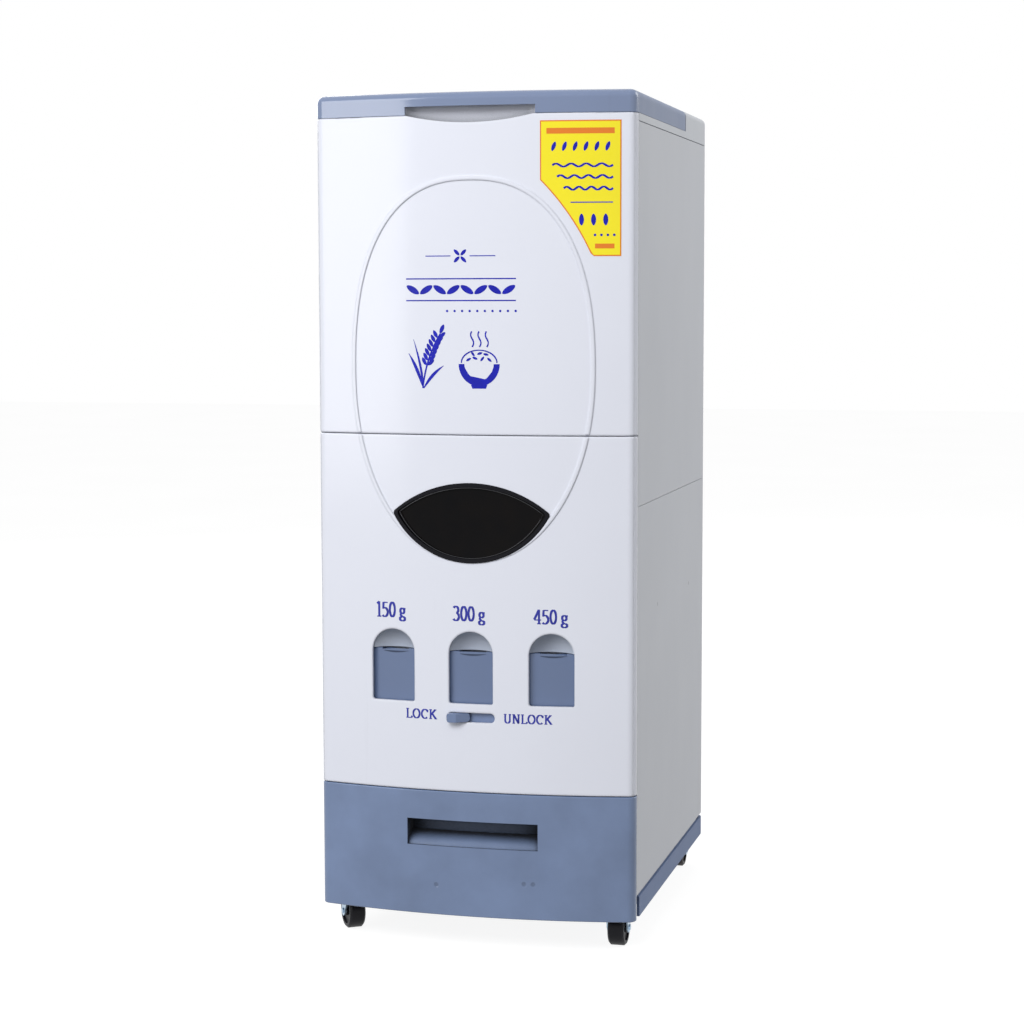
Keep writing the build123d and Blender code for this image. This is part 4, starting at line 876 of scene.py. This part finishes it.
def add_screws(castor):
    """Four screws under a castor's plate."""
    plate_wall = 0.003
    shift = 0.0145
    head_radius = 0.0028
    head_height = 0.0016
    low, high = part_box(f"{castor}_castor_plate")
    centre_x, centre_y = box_centre(low, high)
    for number, (side, end) in enumerate(((-1, -1), (1, -1), (-1, 1), (1, 1))):
        name = f"{castor}_screw_{number}"
        place = (centre_x + side * shift, centre_y + end * shift, high[2] - plate_wall)
        mesh = screw_mesh(name, head_radius, head_height)
        finish_piece(name, mesh, slot_finishes["zinc_steel"], "cabinet", place)


for portion in portions:
    add_painted_groove_shade(portion)
add_window_bead()
for portion in portions:
    add_spring(portion)
for castor in castors:
    add_screws(castor)


# Floor and surroundings, pale where they are seen and dim where they light the object
def seen_share(tree):
    """1 for rays from the camera, a gloss or a glass, and 0 for the light that falls on the object."""
    rays = add_node(tree, "LightPath", {}).outputs
    seen = combined(tree, "MAXIMUM", rays["Is Camera Ray"], rays["Is Glossy Ray"])
    return combined(tree, "MAXIMUM", seen, rays["Is Transmission Ray"])


floor_reach = 12
floor_glow = 0.9
floor_corners = [(x * floor_reach, y * floor_reach, 0) for x, y in ((-1, -1), (1, -1), (1, 1), (-1, 1))]
floor_mesh = bpy.data.meshes.new("floor")
floor_mesh.from_pydata(floor_corners, [], [(0, 1, 2, 3)])
floor = bpy.data.objects.new("floor", floor_mesh)
bpy.context.scene.collection.objects.link(floor)
floor_material = start_material("floor_pale", roughness=0.9)
floor_mesh.materials.append(floor_material)
floor_tree, floor_shader, floor_place = shader_parts(floor_material)
floor_cloud = noise(floor_tree, floor_place, scale=2.0)
set_inputs(floor_tree, floor_shader, {
    "Base Color": ramp(floor_tree, floor_cloud, (0.19, 0.19, 0.19), (0.21, 0.21, 0.21)),
    "Specular IOR Level": 0.0,
    "Emission Color": white,
    "Emission Strength": span(floor_tree, seen_share(floor_tree), 0.0, floor_glow),
})

world = bpy.data.worlds.new("studio")
bpy.context.scene.world = world
world.use_nodes = True
world_tree = world.node_tree
lighting = world_tree.nodes["Background"]
set_inputs(world_tree, lighting, {"Color": white, "Strength": 0.4})
backdrop = add_node(world_tree, "Background", {"Color": white, "Strength": 1.0})
choice = add_node(world_tree, "MixShader", {
    "Fac": seen_share(world_tree),
    1: lighting.outputs["Background"],
    2: backdrop.outputs["Background"],
})
set_inputs(world_tree, world_tree.nodes["World Output"], {"Surface": choice.outputs["Shader"]})


# Lights and camera
def softbox(name, place, target, width, height, power):
    """Rectangular light that faces a target."""
    light = bpy.data.lights.new(name, "AREA")
    light.shape = "RECTANGLE"
    light.size = width
    light.size_y = height
    light.energy = power
    lamp = bpy.data.objects.new(name, light)
    lamp.location = place
    lamp.rotation_euler = (Vector(target) - Vector(place)).to_track_quat("-Z", "Y").to_euler()
    bpy.context.scene.collection.objects.link(lamp)
    return lamp


softbox("key", (-2.093, -2.879, 1.5), (0, -0.2, 0.6), width=1.26, height=2.6, power=32)
front_light = softbox("front", (-0.5, -3.0, 2.6), (0, -0.2, 0.45), width=2.2, height=1.6, power=84)
front_light.visible_glossy = False
softbox("fill", (2.4, 1.4, 2.0), (0, 0, 0.5), width=1.6, height=1.8, power=35)
softbox("back", (-2.2, 2.6, 2.0), (0, 0, 0.5), width=1.8, height=1.8, power=45)

camera_place = Vector((0.64292, -2.55772, 0.70496))
yaw = -0.25
pitch = 0.093
roll = -0.002
forward = Vector((math.sin(yaw) * math.cos(pitch), math.cos(yaw) * math.cos(pitch), -math.sin(pitch)))
level_right = Vector((math.cos(yaw), -math.sin(yaw), 0))
level_up = level_right.cross(forward)
right = level_right * math.cos(roll) + level_up * math.sin(roll)
upward = level_up * math.cos(roll) - level_right * math.sin(roll)
camera_data = bpy.data.cameras.new("camera")
camera_data.sensor_width = 36.0
camera_data.lens = 80.26
camera = bpy.data.objects.new("camera", camera_data)
camera.matrix_world = Matrix((
    (right.x, upward.x, -forward.x, camera_place.x),
    (right.y, upward.y, -forward.y, camera_place.y),
    (right.z, upward.z, -forward.z, camera_place.z),
    (0, 0, 0, 1),
))
bpy.context.scene.collection.objects.link(camera)
bpy.context.scene.camera = camera
bpy.context.scene.view_settings.view_transform = "Standard"
